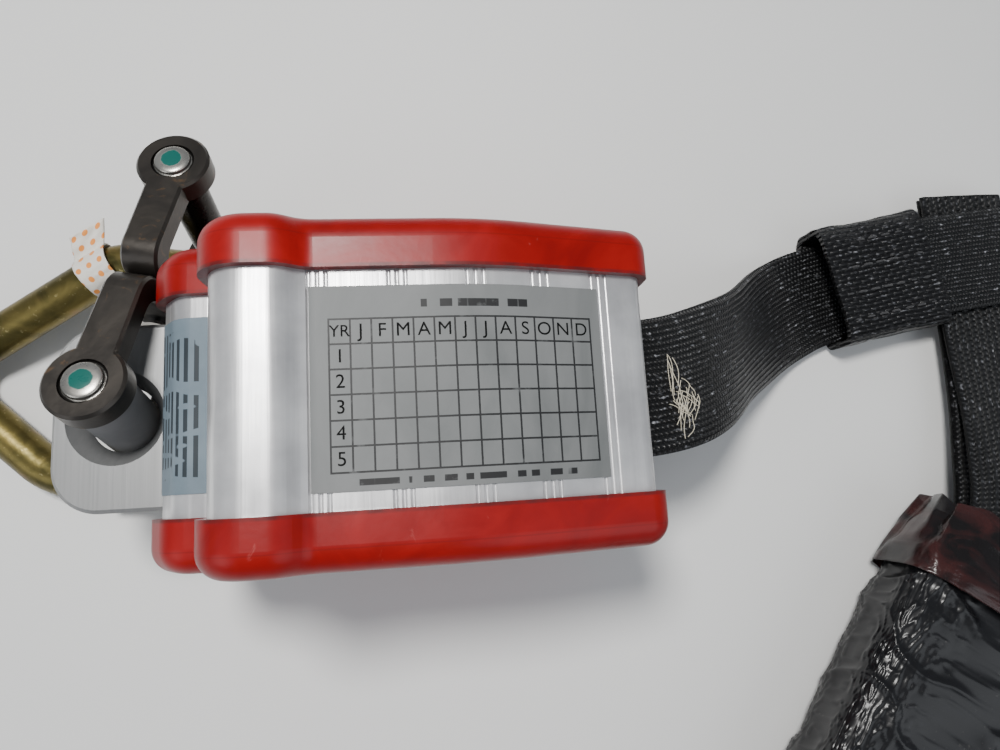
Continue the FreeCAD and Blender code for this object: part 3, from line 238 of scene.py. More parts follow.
# The jaw pins: the direction they share, and the middle of each.
PIN_AXIS = Vector((0.0, 0.27564, 0.96126))
LOWER_PIN = Vector((-0.0455, 0.0, 0.033))
UPPER_PIN = Vector((-0.036513, 0.044444, 0.020256))
DOT_RADIUS = 0.0023
GROOVE_RADIUS = 0.0037


def pin_metal(name, centre):
    """Nickel with a teal paint dot in the middle of each head, and painted shade darkening the groove round
    it.
    """
    kit = Kit(name, (0.60, 0.58, 0.54), 0.95, 0.25)
    ring = kit.noise(700.0, 3.0)
    tone = kit.mix(kit.noise(160.0, 4.0), (0.34, 0.32, 0.29), (0.66, 0.64, 0.58))
    offset = kit.vector("SUBTRACT", kit.coords.outputs["Object"], centre)
    radial = kit.vector("CROSS_PRODUCT", offset.outputs[0], PIN_AXIS)
    length = kit.vector("LENGTH", radial.outputs[0])
    away = kit.math("ADD", length.outputs["Value"], kit.math("MULTIPLY", ring, 0.0006))
    dot = kit.between(away, -1.0, DOT_RADIUS, 0.0002)
    # painted shade: the groove and shoulder beyond GROOVE_RADIUS turn near black
    tone = kit.mix(kit.between(away, GROOVE_RADIUS, 1.0, 0.0002), tone, (0.02, 0.018, 0.016))
    kit.color(kit.mix(dot, tone, (0.002, 0.095, 0.078)))
    kit.put(kit.bsdf.inputs["Metallic"], kit.math("SUBTRACT", 0.95, kit.math("MULTIPLY", dot, 0.95)))
    kit.rough(ring, 0.18, 0.4)
    return kit.bump(ring, 0.00005, 0.4).mat


def plain_steel(name, tone, low=0.25, high=0.45, metallic=0.9, scale=400.0):
    """A plain metal with small darker spots. Its roughness lies between low and high."""
    kit = Kit(name, tone, metallic, low)
    spot = kit.noise(scale, 4.0)
    dark = tuple(channel * 0.7 for channel in tone)
    kit.color(kit.mix(spot, dark, tone))
    kit.rough(spot, low, high)
    return kit.bump(spot, 0.00005, 0.4).mat


def nozzle_black():
    """Black moulded plastic with a fine grain."""
    kit = Kit("nozzle_black", (0.012, 0.012, 0.013), 0.0, 0.4)
    grain = kit.noise(1500.0, 3.0)
    kit.color(kit.mix(kit.noise(200.0, 3.0), (0.012, 0.012, 0.013), (0.022, 0.022, 0.0235)))
    kit.rough(grain, 0.4, 0.6)
    return kit.bump(grain, 0.00006, 0.5).mat


GRID_X = (-0.0040, 0.0376)
GRID_Y = (-0.0128, 0.0104)
COLUMNS = 13
ROWS = 6
GRID_LINE = 0.00015
TITLE_X = (0.010, 0.027)
TITLE_Y = (0.0120, 0.0133)
FOOT_X = (0.0, 0.035)
FOOT_Y = (-0.0148, -0.0138)


def inspection_film():
    """Grey film with a printed grid, and plain bars in place of its title and its foot line."""
    kit = Kit("inspection_film", (0.30, 0.31, 0.31), 0.0, 0.42, Specular_IOR_Level=0.3)
    axes = kit.split()
    rim = GRID_LINE + 0.00001
    inside = kit.math("MULTIPLY", kit.between(axes[0], GRID_X[0] - rim, GRID_X[1] + rim, 0.00003),
                      kit.between(axes[1], GRID_Y[0] - rim, GRID_Y[1] + rim, 0.00003))
    marks = 0.0
    for axis, span, count in ((axes[0], GRID_X, COLUMNS), (axes[1], GRID_Y, ROWS)):
        pitch = (span[1] - span[0]) / count
        from_line = kit.math("PINGPONG", kit.math("SUBTRACT", axis, span[0]), pitch / 2)
        marks = kit.math("MAXIMUM", marks, kit.math("LESS_THAN", from_line, GRID_LINE))
    printed = kit.math("MULTIPLY", marks, inside)
    grain = kit.noise(900.0, 3.0)
    for across, up in ((TITLE_X, TITLE_Y), (FOOT_X, FOOT_Y)):
        bar = kit.math("MULTIPLY", kit.between(axes[1], *up, 0.00005), kit.between(axes[0], *across, 0.00005))
        words = kit.ramp(kit.noise(620.0, 0.0, (1.0, 0.02, 0.02)), (0.44, 0.0), (0.47, 1.0))
        printed = kit.math("MAXIMUM", printed, kit.math("MULTIPLY", bar, words))
    worn = kit.ramp(kit.noise(420.0, 5.0), (0.28, 0.55), (0.40, 1.0))
    smear = kit.noise(80.0, 5.0, (1, 0.4, 1), warp=1.0)
    film = kit.mix(kit.ramp(smear, (0.3, 0.0), (0.7, 1.0)), (0.125, 0.132, 0.132), (0.185, 0.19, 0.19))
    ink = kit.math("MULTIPLY", kit.math("MULTIPLY", printed, worn), 0.95)
    kit.color(kit.mix(ink, film, (0.008, 0.008, 0.009)))
    kit.rough(smear, 0.42, 0.62)
    return kit.bump(grain, 0.00003, 0.4).mat


BAR_SPACING = 0.0020
BAR_WIDTH = 0.0009
BARS_Y = (-0.0125, 0.0125)
BARS_ROUND = (0.0065, 0.0252)


def rating_film():
    """Blue grey film with rows of plain bars, counted round the rear lobe by x + z."""
    kit = Kit("rating_film", (0.2, 0.25, 0.3), 0.0, 0.4, Specular_IOR_Level=0.3)
    axes = kit.split()
    words = kit.ramp(kit.noise(480.0, 0.0, (0.3, 1.0, 0.3)), (0.41, 0.0), (0.43, 1.0))
    round_lobe = kit.math("ADD", axes[0], axes[2])
    rows = kit.math("LESS_THAN", kit.math("PINGPONG", round_lobe, BAR_SPACING / 2), BAR_WIDTH / 2)
    area = kit.math("MULTIPLY", kit.between(axes[1], *BARS_Y, 0.0001),
                    kit.between(round_lobe, *BARS_ROUND, 0.0001))
    printed = kit.math("MULTIPLY", kit.math("MULTIPLY", words, rows), area)
    wear = kit.noise(150.0, 5.0)
    film = kit.mix(wear, (0.10, 0.14, 0.17), (0.20, 0.25, 0.29))
    kit.color(kit.mix(kit.math("MULTIPLY", printed, 0.85), film, (0.006, 0.008, 0.01)))
    return kit.rough(wear, 0.3, 0.5).bump(kit.noise(900.0), 0.00003, 0.4).mat


def webbing(name, across, along, dark, light, painted_glint_strength):
    """Woven tape on UV metres: U across it, V along it, with ribs and picks of the given pitch."""
    gloss = 0.45
    kit = Kit(name, dark, 0.0, gloss, Sheen_Weight=0.02, Sheen_Roughness=0.4, Specular_IOR_Level=0.4)
    axes = kit.split("UV")
    u = kit.math("DIVIDE", axes[0], across)
    row = kit.math("FLOOR", u)
    v = kit.math("ADD", kit.math("DIVIDE", axes[1], along), kit.math("MULTIPLY", row, 0.5))
    rib = kit.math("ABSOLUTE", kit.math("SINE", kit.math("MULTIPLY", u, math.pi)))
    pick = kit.math("ABSOLUTE", kit.math("SINE", kit.math("MULTIPLY", v, math.pi)))
    height = kit.math("MULTIPLY", rib, kit.math("MULTIPLY_ADD", pick, 0.6, 0.4))
    hair = kit.noise(2600.0, 3.0, space="UV")
    cloud = kit.noise(160.0, 3.0, space="UV")
    # painted highlight: pale glints on the rib tops, their strength set for each webbing
    glint = kit.ramp(kit.noise(1400.0, 2.0, (1.0, 0.35, 1.0), space="UV"), (0.60, 0.0), (0.74, 1.0))
    # painted shade and highlight: colour runs from dark in the hollows of the weave to light on the rib tops
    tone = kit.mix(kit.math("MULTIPLY", height, kit.math("MULTIPLY_ADD", cloud, 0.7, 0.5)), dark, light)
    shine = kit.math("MULTIPLY", kit.math("MULTIPLY", glint, height), painted_glint_strength)
    kit.color(kit.mix(shine, tone, (0.45, 0.46, 0.5)))
    kit.rough(hair, gloss - 0.2, gloss + 0.15)
    return kit.bump(height, min(across, along) * 0.55, 1.0).bump(hair, 0.00008, 0.6).mat


def shrink_film():
    """Near-black film with creases, and a little dust on it."""
    kit = Kit("black_shrink_film", (0.005, 0.005, 0.006), 0.0, 0.3, Coat_Weight=0.12,
              Coat_Roughness=0.22, Specular_IOR_Level=0.35)
    crease = kit.noise(110.0, 3.0, (0.35, 1.0, 1.0), rough=0.5, space="UV", warp=0.5)
    wrinkle = kit.noise(300.0, 2.0, (0.3, 1.0, 1.0), space="UV", warp=0.5)
    dust = kit.ramp(kit.noise(1200.0, 4.0), (0.66, 0.0), (0.74, 1.0))
    kit.color(kit.mix(kit.math("MULTIPLY", dust, 0.15), (0.005, 0.005, 0.006), (0.22, 0.21, 0.19)))
    kit.rough(crease, 0.20, 0.42)
    return kit.bump(crease, 0.0010, 0.35).bump(wrinkle, 0.0002, 0.2).mat


def clear_film():
    """Smoky film that lets a little through, brownish red in its creases."""
    kit = Kit("clear_cuff_film", (0.02, 0.01, 0.01), 0.0, 0.2, Alpha=0.8, Coat_Weight=0.2,
              Coat_Roughness=0.12)
    crease = kit.noise(160.0, 4.0, (0.4, 1.0, 1.0), space="UV", warp=0.8)
    tint = kit.ramp(crease, (0.42, 0.0), (0.62, 1.0))
    kit.color(kit.mix(tint, (0.006, 0.004, 0.004), (0.045, 0.011, 0.010)))
    return kit.rough(crease, 0.12, 0.34).bump(crease, 0.0014, 0.5).mat


def dotted_tape():
    """Cream cloth with orange dots in staggered rows."""
    kit = Kit("dotted_tape", (0.80, 0.76, 0.68), 0.0, 0.6, Sheen_Weight=0.2)
    axes = kit.split("UV")
    pitch, dot_radius = 0.0026, 0.00068
    row = kit.math("FLOOR", kit.math("DIVIDE", axes[1], pitch))
    shifted = kit.math("ADD", axes[0], kit.math("MULTIPLY", kit.math("MODULO", row, 2.0), pitch / 2))
    dx = kit.math("SUBTRACT", kit.math("PINGPONG", shifted, pitch / 2), pitch / 2)
    dy = kit.math("SUBTRACT", kit.math("FLOORED_MODULO", axes[1], pitch), pitch / 2)
    away = kit.math("SQRT", kit.math("ADD", kit.math("MULTIPLY", dx, dx), kit.math("MULTIPLY", dy, dy)))
    dot = kit.between(away, -1.0, dot_radius, 0.00012)
    weave = kit.noise(1800.0, 2.0, space="UV")
    grime = kit.noise(220.0, 4.0)
    cloth = kit.mix(grime, (0.66, 0.62, 0.54), (0.88, 0.86, 0.80))
    kit.color(kit.mix(dot, cloth, (0.86, 0.30, 0.05)))
    return kit.rough(weave, 0.5, 0.8).bump(weave, 0.00008, 0.6).mat


def thread(name, tone):
    """Twisted sewing thread or loose yarn."""
    kit = Kit(name, tone, 0.0, 0.7, Sheen_Weight=0.3)
    twist = kit.noise(3000.0, 2.0, (1.0, 1.0, 0.4))
    kit.color(kit.mix(twist, tuple(channel * 0.6 for channel in tone), tone))
    return kit.rough(twist, 0.55, 0.85).bump(twist, 0.00006, 0.6).mat


def table_top():
    """A pale, nearly even table."""
    kit = Kit("table_top", (0.78, 0.78, 0.765), 0.0, 0.55)
    cloud = kit.noise(4.0, 4.0)
    kit.color(kit.mix(cloud, (0.74, 0.74, 0.725), (0.82, 0.82, 0.81)))
    return kit.rough(kit.noise(60.0, 3.0), 0.45, 0.65).bump(kit.noise(700.0, 2.0), 0.00003, 0.3).mat


def paint(obj, mat):
    """Gives an object its own material."""
    obj.data.materials.clear()
    obj.data.materials.append(mat)


COARSE = webbing("coarse_webbing", 0.0017, 0.0014, (0.001, 0.001, 0.001), (0.014, 0.014, 0.015), 0.55)
FINE = webbing("fine_webbing", 0.0011, 0.0009, (0.0008, 0.0008, 0.001), (0.008, 0.008, 0.009), 0.8)
SLEEVE = webbing("ridged_webbing", 0.0012, 0.0024, (0.001, 0.001, 0.0012), (0.011, 0.011, 0.0125), 0.6)
STEEL = plain_steel("zinc_plated_steel", (0.56, 0.56, 0.57))
FILM = shrink_film()
CLEAR = clear_film()
TAPE = dotted_tape()
THREAD = thread("black_thread", (0.03, 0.03, 0.033))
CAD_FINISHES = {
    extruded_aluminium(): "front_shell rear_shell",
    bumper_red(): "bumper_upper bumper_lower",
    STEEL: "frame_plate_upper frame_plate_lower tie_bolts tie_nuts anchor_bolt anchor_nut "
           "ratchet_ring spring_cup",
    plain_steel("screw_steel", (0.42, 0.42, 0.43), 0.3, 0.5): "bumper_screws",
    plain_steel("bush_bronze", (0.60, 0.42, 0.20), 0.3, 0.5): "axle_bush_upper axle_bush_lower",
    plain_steel("blued_spring", (0.16, 0.18, 0.24), 0.2, 0.35): "power_spring pawl_springs gate_spring",
    plain_steel("turned_spool", (0.62, 0.62, 0.63), 0.3, 0.5, 0.9, 900.0): "web_spool spring_arbor",
    plain_steel("ground_steel", (0.6, 0.6, 0.6), 0.15, 0.3): "spool_axle pawl_pins pawl_a pawl_b",
    nozzle_black(): "exit_nozzle",
    inspection_film(): "inspection_label",
    rating_film(): "rating_label",
    milled_aluminium(): "anchor_plate",
    plain_steel("sleeve_grey", (0.27, 0.27, 0.275), 0.42, 0.6, 0.25): "anchor_sleeve",
    forged_dark(): "lower_jaw upper_jaw",
    pin_metal("lower_pin_nickel", LOWER_PIN): "lower_pin",
    pin_metal("upper_pin_nickel", UPPER_PIN): "upper_pin",
    plain_steel("rivet_steel", (0.72, 0.70, 0.66), 0.12, 0.25): "swivel_rivet swivel_washer",
    zinc_dichromate(): "carabiner_body carabiner_gate gate_sleeve gate_pin",
    plain_steel("hook_steel", (0.50, 0.50, 0.51), 0.28, 0.5): "hook_body hook_gate hook_lever hook_pins",
    COARSE: "webbing_coil pack_core pack_lower_loop pack_upper_loop strap_end_sleeve lifeline_strap",
    THREAD: "strap_stitching",
    FILM: "pack_wrap",
    CLEAR: "pack_cuff",
    TAPE: "tape_flag",
}
for finish, names in CAD_FINISHES.items():
    for name in names.split():
        paint(nodes[name], finish)


# ---------------------------------------------------------------- mesh helpers
def smooth_line(points):
    """The points of the NURBS curve that has the route's points as its control points."""
    data = bpy.data.curves.new("route", "CURVE")
    data.dimensions = "3D"
    data.resolution_u = 22
    spline = data.splines.new("NURBS")
    spline.points.add(len(points) - 1)
    for knot, point in zip(spline.points, points):
        knot.co = (*point, 1.0)
    spline.order_u = 3
    spline.use_endpoint_u = True
    holder = bpy.data.objects.new("route", data)
    bpy.context.scene.collection.objects.link(holder)
    mesh = bpy.data.meshes.new_from_object(holder)
    line = [vertex.co.copy() for vertex in mesh.vertices]
    bpy.data.objects.remove(holder)
    bpy.data.meshes.remove(mesh)
    return line


def line_length(line):
    return sum((b - a).length for a, b in zip(line, line[1:]))


def new_mesh(name, vertices, faces, uvs=None):
    mesh = bpy.data.meshes.new(name)
    mesh.from_pydata([tuple(v) for v in vertices], [], faces)
    if uvs is not None:
        layer = mesh.uv_layers.new(name="UVMap")
        for loop in mesh.loops:
            layer.data[loop.index].uv = uvs[loop.vertex_index]
    mesh.polygons.foreach_set("use_smooth", [True] * len(mesh.polygons))
    mesh.update()
    obj = bpy.data.objects.new(name, mesh)
    bpy.context.scene.collection.objects.link(obj)
    return obj


def tube_mesh(name, rings, closed_ends, uvs=None):
    """Joins rings of points, each with the same count, into one skin."""
    count = len(rings[0])
    vertices = [point for ring_points in rings for point in ring_points]
    faces = []
    for i in range(len(rings) - 1):
        for j in range(count):
            k = (j + 1) % count
            faces.append((i * count + j, i * count + k, (i + 1) * count + k, (i + 1) * count + j))
    if closed_ends:
        faces.append(tuple(reversed(range(count))))
        faces.append(tuple(range((len(rings) - 1) * count, len(rings) * count)))
    return new_mesh(name, vertices, faces, uvs)


def there_and_back(steps):
    """Shares of a tube's length along its outside (1) and then back along its inside (0)."""
    forth = [(step / steps, 1) for step in range(steps + 1)]
    return forth + [(1 - step / steps, 0) for step in range(steps + 1)]


def walled_tube(name, rings, uvs):
    """An open tube with a wall: the rings run there and back, and the last one closes on the first."""
    return tube_mesh(name, rings + rings[:1], False, uvs + uvs[:len(rings[0])])


def band(name, line, across_at, width, thickness, lanes, ripple):
    """A woven band along a line, with rounded selvedges. across_at(t) is its width's direction at share t."""
    rings, uvs = [], []
    travelled, total = 0.0, line_length(line)
    count = len(line)
    for index, point in enumerate(line):
        ahead = (line[min(index + 1, count - 1)] - line[max(index - 1, 0)]).normalized()
        if index:
            travelled += (point - line[index - 1]).length
        across = across_at(travelled / total)
        across = (across - ahead * across.dot(ahead)).normalized()
        up = ahead.cross(across)
        ring_points = []
        for side in (1, -1):
            for lane in range(lanes + 1):
                s = (lane / lanes * 2 - 1) * side
                lift = ripple * noise.noise(Vector((s * 2.2, travelled * 55.0, 3.0)))
                edge = math.sqrt(max(0.0, 1 - abs(s) ** 10))
                height = lift + side * thickness / 2 * (0.25 + 0.75 * edge)
                ring_points.append(point + across * (s * width / 2) + up * height)
                uvs.append(((s + 1) * width / 2 + (0.0 if side > 0 else 0.1), travelled))
        rings.append(ring_points)
    return tube_mesh(name, rings, True, uvs)


def superellipse(angle, half_w, half_h, power):
    """A point of an oblong with rounded corners: the higher the power, the squarer they are."""
    c, s = math.cos(angle), math.sin(angle)
    wide = half_w * math.copysign(abs(c) ** (2 / power), c)
    high = half_h * math.copysign(abs(s) ** (2 / power), s)
    return wide, high


def ridge(value, half_width):
    """1 where a noise is 0, falling to 0 where it is half_width away: a sharp fold along its zero line."""
    return max(0.0, 1 - abs(value) / half_width) ** 2


def threads(name, paths, radius, mat, body):
    """Round threads of one material, each along its own short path."""
    data = bpy.data.curves.new(name, "CURVE")
    data.dimensions = "3D"
    data.bevel_depth = radius
    data.bevel_resolution = 1
    data.resolution_u = 4
    for path in paths:
        spline = data.splines.new("NURBS")
        spline.points.add(len(path) - 1)
        for knot, point in zip(spline.points, path):
            knot.co = (*point, 1.0)
        spline.order_u = min(4, len(path))
        spline.use_endpoint_u = True
    obj = bpy.data.objects.new(name, data)
    bpy.context.scene.collection.objects.link(obj)
    data.materials.append(mat)
    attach(obj, body)
    return obj


# ---------------------------------------------------------------- jaw pins
HALF_SPAN = 0.0175
HEAD_TOP = 0.0184
DOME_RADIUS = 0.0033
DOME_STEPS = 14


def make_pin(name, centre, body):
    """A turned pin: a domed head with a narrow groove round it at each end."""
    side = Vector((1, 0, 0)).cross(PIN_AXIS).normalized()
    out = PIN_AXIS.cross(side)
    head = [(0.0, HEAD_TOP)]
    rim = HALF_SPAN + 0.0002
    for step in range(1, DOME_STEPS + 1):
        angle = step / DOME_STEPS * math.pi / 2
        head.append((DOME_RADIUS * math.sin(angle), rim + (HEAD_TOP - rim) * math.cos(angle) ** 0.8))
    head += [(DOME_RADIUS, rim - 0.0004), (0.0036, rim - 0.0006)]
    head += [(0.00395, HALF_SPAN - 0.0001), (0.004, HALF_SPAN - 0.0006)]
    profile = head + [(radius, -height) for radius, height in reversed(head)]
    around = 96
    rings = []
    for radius, height in profile:
        ring_points = []
        for j in range(around):
            angle = math.tau * j / around
            away = (side * math.cos(angle) + out * math.sin(angle)) * max(radius, 1e-5)
            ring_points.append(centre + PIN_AXIS * height + away)
        rings.append(ring_points)
    pin = tube_mesh(f"{name}_turned", rings, True)
    paint(pin, nodes[name].data.materials[0])
    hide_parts(name)
    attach(pin, body)


make_pin("lower_pin", LOWER_PIN, "lower_swivel")
make_pin("upper_pin", UPPER_PIN, "upper_swivel")


# ---------------------------------------------------------------- the lifeline
STRAP_ROUTE = [Vector(point) * MM for point in (
    (44.0, 0.0, 44.6), (54.0, 0.0, 44.6), (70.0, 5.6, 36.0), (86.0, 14.8, 16.0), (98.0, 22.0, 4.6),
    (110.0, 27.6, 3.0), (145.0, 34.0, 3.0), (171.5, 36.8, 3.0), (171.5, 36.8, 9.6), (133.0, 31.9, 9.6))]
STRAP_WIDTH = 0.0254
STRAP_THICK = 0.0019


def strap_across(share):
    """The strap's width lies along the table, rolled a little where it comes down from the housing."""
    roll = math.radians(15.0) * math.exp(-((share - 0.22) / 0.10) ** 2)
    return Vector((-0.16, 0.987, 0.0)).normalized() + Vector((0, 0, math.sin(roll)))


def make_strap():
    """The strap from the exit to its sewn end, with the line that it follows."""
    line = smooth_line(STRAP_ROUTE)
    strap = band("lifeline", line, strap_across, STRAP_WIDTH, STRAP_THICK, lanes=28, ripple=0.00025)
    paint(strap, FINE)
    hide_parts("lifeline_strap")
    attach(strap, "housing")
    return strap, line


strap, strap_line = make_strap()
strap_length = line_length(strap_line)


# ---------------------------------------------------------------- sewn end, its wear sleeve and stitching
SLEEVE_MIDDLE = Vector((124.5, 30.25, 6.5)) * MM
HEADING = (STRAP_ROUTE[6] - STRAP_ROUTE[5]).normalized()
ACROSS = Vector((-HEADING.y, HEADING.x, 0))
UP = Vector((0, 0, 1))


def make_sleeve():
    """Coarser webbing folded round both layers: a soft flattened tube with an open, slightly flared end."""
    length = 0.0275
    half_w = 0.0148
    half_h = 0.0061
    wall = 0.0013
    around = 120
    rings, uvs = [], []
    for share, outer in there_and_back(40):
        along = (share - 0.5) * length
        flare = 0.0004 * abs(share - 0.5) * 2
        ring_points = []
        for j in range(around):
            angle = math.tau * j / around
            trim = 0.0 if outer else wall
            u, v = superellipse(angle, half_w - trim + flare, half_h - trim + flare, 5.0)
            swell = noise.noise(Vector((along * 160, u * 200, v * 260))) * 0.00035
            sag = -0.0006 * math.cos(u / half_w * 1.4) * (1 if v > 0 else 0)
            lift = v + sag + (swell if v > 0 else 0)
            ring_points.append(SLEEVE_MIDDLE + HEADING * along + ACROSS * (u + swell) + UP * lift)
            uvs.append((u + 0.03 if v > 0 else u + 0.09, along + 0.05))
        rings.append(ring_points)
    sleeve = walled_tube("strap_wear_sleeve", rings, uvs)
    paint(sleeve, SLEEVE)
    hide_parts("strap_end_sleeve")
    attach(sleeve, "housing")
    return sleeve


STITCH_ROWS = (-9.6, -3.2, 3.2, 9.6)
STITCHES_A_ROW = 7
STITCH_PITCH = 3.5
STITCH_LENGTH = 2.9
STITCH_TOP = 5.55


def make_stitches():
    """Four rows of lock stitches, each stitch sinking into the cloth at both ends."""
    paths = []
    for row in STITCH_ROWS:
        for step in range(STITCHES_A_ROW):
            start = (step - STITCHES_A_ROW / 2) * STITCH_PITCH + rng.uniform(-0.1, 0.1)
            path = []
            for share, lift in ((0.0, -0.5), (0.18, 0.1), (0.5, 0.32), (0.82, 0.1), (1.0, -0.5)):
                along = (start + share * STITCH_LENGTH) * MM
                base = SLEEVE_MIDDLE + HEADING * along + ACROSS * (row * MM)
                path.append(base + UP * ((STITCH_TOP + lift) * MM))
            paths.append(path)
    stitches = threads("sleeve_stitches", paths, 0.00026, THREAD, "housing")
    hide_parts("strap_stitching")
    return stitches


sleeve = make_sleeve()
stitches = make_stitches()


# ---------------------------------------------------------------- frayed cream threads by the exit
FRAYED_ENDS = 30
LONG_ENDS = 9


def make_fray():
    """Cream ends standing out of the strap: a few long ones along it, and a tangle of short ones."""
    cream = thread("cream_thread", (0.72, 0.66, 0.52))
    paths = []
    for number in range(FRAYED_ENDS):
        long = number < LONG_ENDS
        share = 0.058 + rng.random() * (0.012 if long else 0.024)
        index, gone = 0, 0.0
        while gone < share * strap_length:
            gone += (strap_line[index + 1] - strap_line[index]).length
            index += 1
        here = strap_line[index]
        ahead = (strap_line[index + 1] - here).normalized()
        across = strap_across(share)
        across = (across - ahead * across.dot(ahead)).normalized()
        up = ahead.cross(across)
        up = up if up.z > 0 else -up
        middle = rng.uniform(-0.0085, 0.0062) if long else rng.gauss(-0.0040, 0.0020)
        reach = rng.uniform(0.0022, 0.0042) if long else rng.uniform(0.0009, 0.0022)
        slant = rng.uniform(0.05, 0.35) if long else rng.uniform(-1.0, 1.0)
        path = []
        for t in (-1.0, -0.55, 0.0, 0.5, 1.0):
            curl = rng.uniform(-0.0007, 0.0007)
            lift = STRAP_THICK / 2 + 0.00016 + 0.0008 * rng.random() * (1 - t * t)
            path.append(here + across * (middle + t * reach) + ahead * (t * reach * slant + curl) + up * lift)
        paths.append(path)
    threads("frayed_threads", paths, 0.000075, cream, "housing")


make_fray()


# ---------------------------------------------------------------- the inspection grid's marks
WORD_SIZE = 0.0026
LETTER_SIZE = 0.0030


def make_marks():
    """Month initials along the grid's first row and numbers down its first column, on the curved label."""
    ink = Kit("label_ink", (0.004, 0.004, 0.004), 0.0, 0.7, Specular_IOR_Level=0.1)
    ink.rough(ink.noise(900.0), 0.6, 0.8)
    label = nodes["inspection_label"].data
    surface = BVHTree.FromPolygons([vertex.co for vertex in label.vertices],
                                   [tuple(face.vertices) for face in label.polygons])
    width, height = GRID_X[1] - GRID_X[0], GRID_Y[1] - GRID_Y[0]
    spots = [(letter, column, 0) for column, letter in enumerate(("YR", *"JFMAMJJASOND"))]
    spots += [(str(row), 0, row) for row in range(1, ROWS)]
    joined = bmesh.new()
    for number, (word, column, row) in enumerate(spots):
        text = bpy.data.curves.new(f"mark_{number}", "FONT")
        text.body = word
        text.size = WORD_SIZE if len(word) > 1 else LETTER_SIZE
        text.align_x, text.align_y = "CENTER", "CENTER"
        text.extrude = 0.00001
        holder = bpy.data.objects.new(f"mark_{number}", text)
        bpy.context.scene.collection.objects.link(holder)
        holder.location.x = GRID_X[0] + (column + 0.5) * width / COLUMNS
        holder.location.y = GRID_Y[1] - (row + 0.5) * height / ROWS
        bpy.context.view_layer.update()
        mesh = bpy.data.meshes.new_from_object(holder)
        mesh.transform(holder.matrix_world)
        for vertex in mesh.vertices:
            hit = surface.ray_cast(Vector((vertex.co.x, vertex.co.y, 0.1)), Vector((0, 0, -1)))[0]
            vertex.co.z += hit.z + 0.00002
        joined.from_mesh(mesh)
        bpy.data.objects.remove(holder)
        bpy.data.meshes.remove(mesh)
    out = bpy.data.meshes.new("grid_marks")
    joined.to_mesh(out)
    joined.free()
    marks = bpy.data.objects.new("grid_marks", out)
    bpy.context.scene.collection.objects.link(marks)
    paint(marks, ink.mat)
    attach(marks, "housing")


make_marks()


# ---------------------------------------------------------------- the shock pack
PACK_ANGLE = math.radians(-125.0)
PACK_TOP = Vector((141.0, -42.0, 0.6)) * MM
PACK_X = Vector((math.cos(PACK_ANGLE), math.sin(PACK_ANGLE), 0))
PACK_Y = Vector((-math.sin(PACK_ANGLE), math.cos(PACK_ANGLE), 0))
PACK_LENGTH = 0.104
PACK_WIDTH = 0.046
PACK_HEIGHT = 0.023


def on_pack(x, y, z):
    """A place given along the pack from its upper end, across it, and up from the table."""
    return PACK_TOP + PACK_X * x + PACK_Y * y + UP * z


def make_pack():
    """Shrink film over folded webbing: ribbed by the folds inside, drawn in and gathered at both ends."""
    around, steps = 240, 260
    rings, uvs = [], []
    for i in range(steps + 1):
        share = i / steps
        x = share * PACK_LENGTH
        end = min(share, 1 - share) * PACK_LENGTH
        pinch = 1.0 - 0.62 * math.exp(-(end / 0.0042) ** 1.3)
        half_w = PACK_WIDTH / 2 * (0.86 + 0.14 * (1 - math.exp(-(end / 0.008) ** 1.5))) - 0.0006
        half_h = (PACK_HEIGHT / 2 - 0.0007) * pinch
        power = 3.4 + 1.4 * (1 - math.exp(-end / 0.01))
        ring_points = []
        for j in range(around):
            angle = math.tau * j / around
            y, z = superellipse(angle, half_w, half_h, power)
            sway = 0.5 + 0.5 * noise.noise(Vector((x * 40, y * 30, 5.0)))
            folds = 0.00040 * math.sin(x * math.tau / 0.0135 + 2.2 * math.sin(y * 90)) * sway
            crease = 0.00072 * ridge(noise.noise(Vector((x * 95, y * 45 + z * 40, 1.7))), 1 / 4.5)
            small = 0.00035 * ridge(noise.noise(Vector((x * 260, angle * 9, 2.0))), 0.2)
            diagonal = 0.0005 * noise.noise(Vector(((x + y) * 75, (x - y) * 24, z * 60)))
            jitter = 3 * noise.noise(Vector((angle, x * 50, 0)))
            gather = 0.0007 * math.exp(-end / 0.007) * math.sin(angle * 26 + jitter)
            out = folds + crease + small + diagonal + gather - 0.0009
            normal = Vector((y / half_w ** 2, z / max(half_h, 0.002) ** 2, 0)).normalized()
            height = max(0.0002, PACK_HEIGHT / 2 + z + normal.y * out)
            ring_points.append(on_pack(x, y + normal.x * out, height))
            uvs.append((j / around * 0.14, x))
        rings.append(ring_points)
    pack = tube_mesh("shock_pack", rings, True, uvs)
    paint(pack, FILM)
    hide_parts("pack_wrap")
    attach(pack, "housing")
    return pack


def make_cuff():
    """Loose clear film at the pack's upper end, wavy along its free edge."""
    around = 200
    start, end = -0.007, 0.012
    wall = 0.00018
    rings, uvs = [], []
    for share, outer in there_and_back(40):
        x = start + (end - start) * share
        free = (1 - share) ** 1.5
        margin = 0.0003 - 0.0035 * free - (0.0 if outer else wall)
        half_w = PACK_WIDTH / 2 + margin
        ring_points = []
        for j in range(around):
            angle = math.tau * j / around
            y, z = superellipse(angle, half_w, PACK_HEIGHT / 2 + margin, 4.4)
            wave = 0.0013 * free * math.sin(angle * 9 + 2.0 * math.sin(angle * 2))
            edge = 0.0012 * free * math.sin(angle * 5 + 1.0)
            small = 0.0004 * noise.noise(Vector((angle * 6, x * 240, 0)))
            scale = 1 + (wave + small) / half_w
            ring_points.append(on_pack(x + edge, y * scale, max(0.0001, PACK_HEIGHT / 2 + z * scale)))
            uvs.append((j / around * 0.14, x + 0.02))
        rings.append(ring_points)
    cuff = walled_tube("pack_clear_cuff", rings, uvs)
    paint(cuff, CLEAR)
    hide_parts("pack_cuff")
    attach(cuff, "housing")
    return cuff


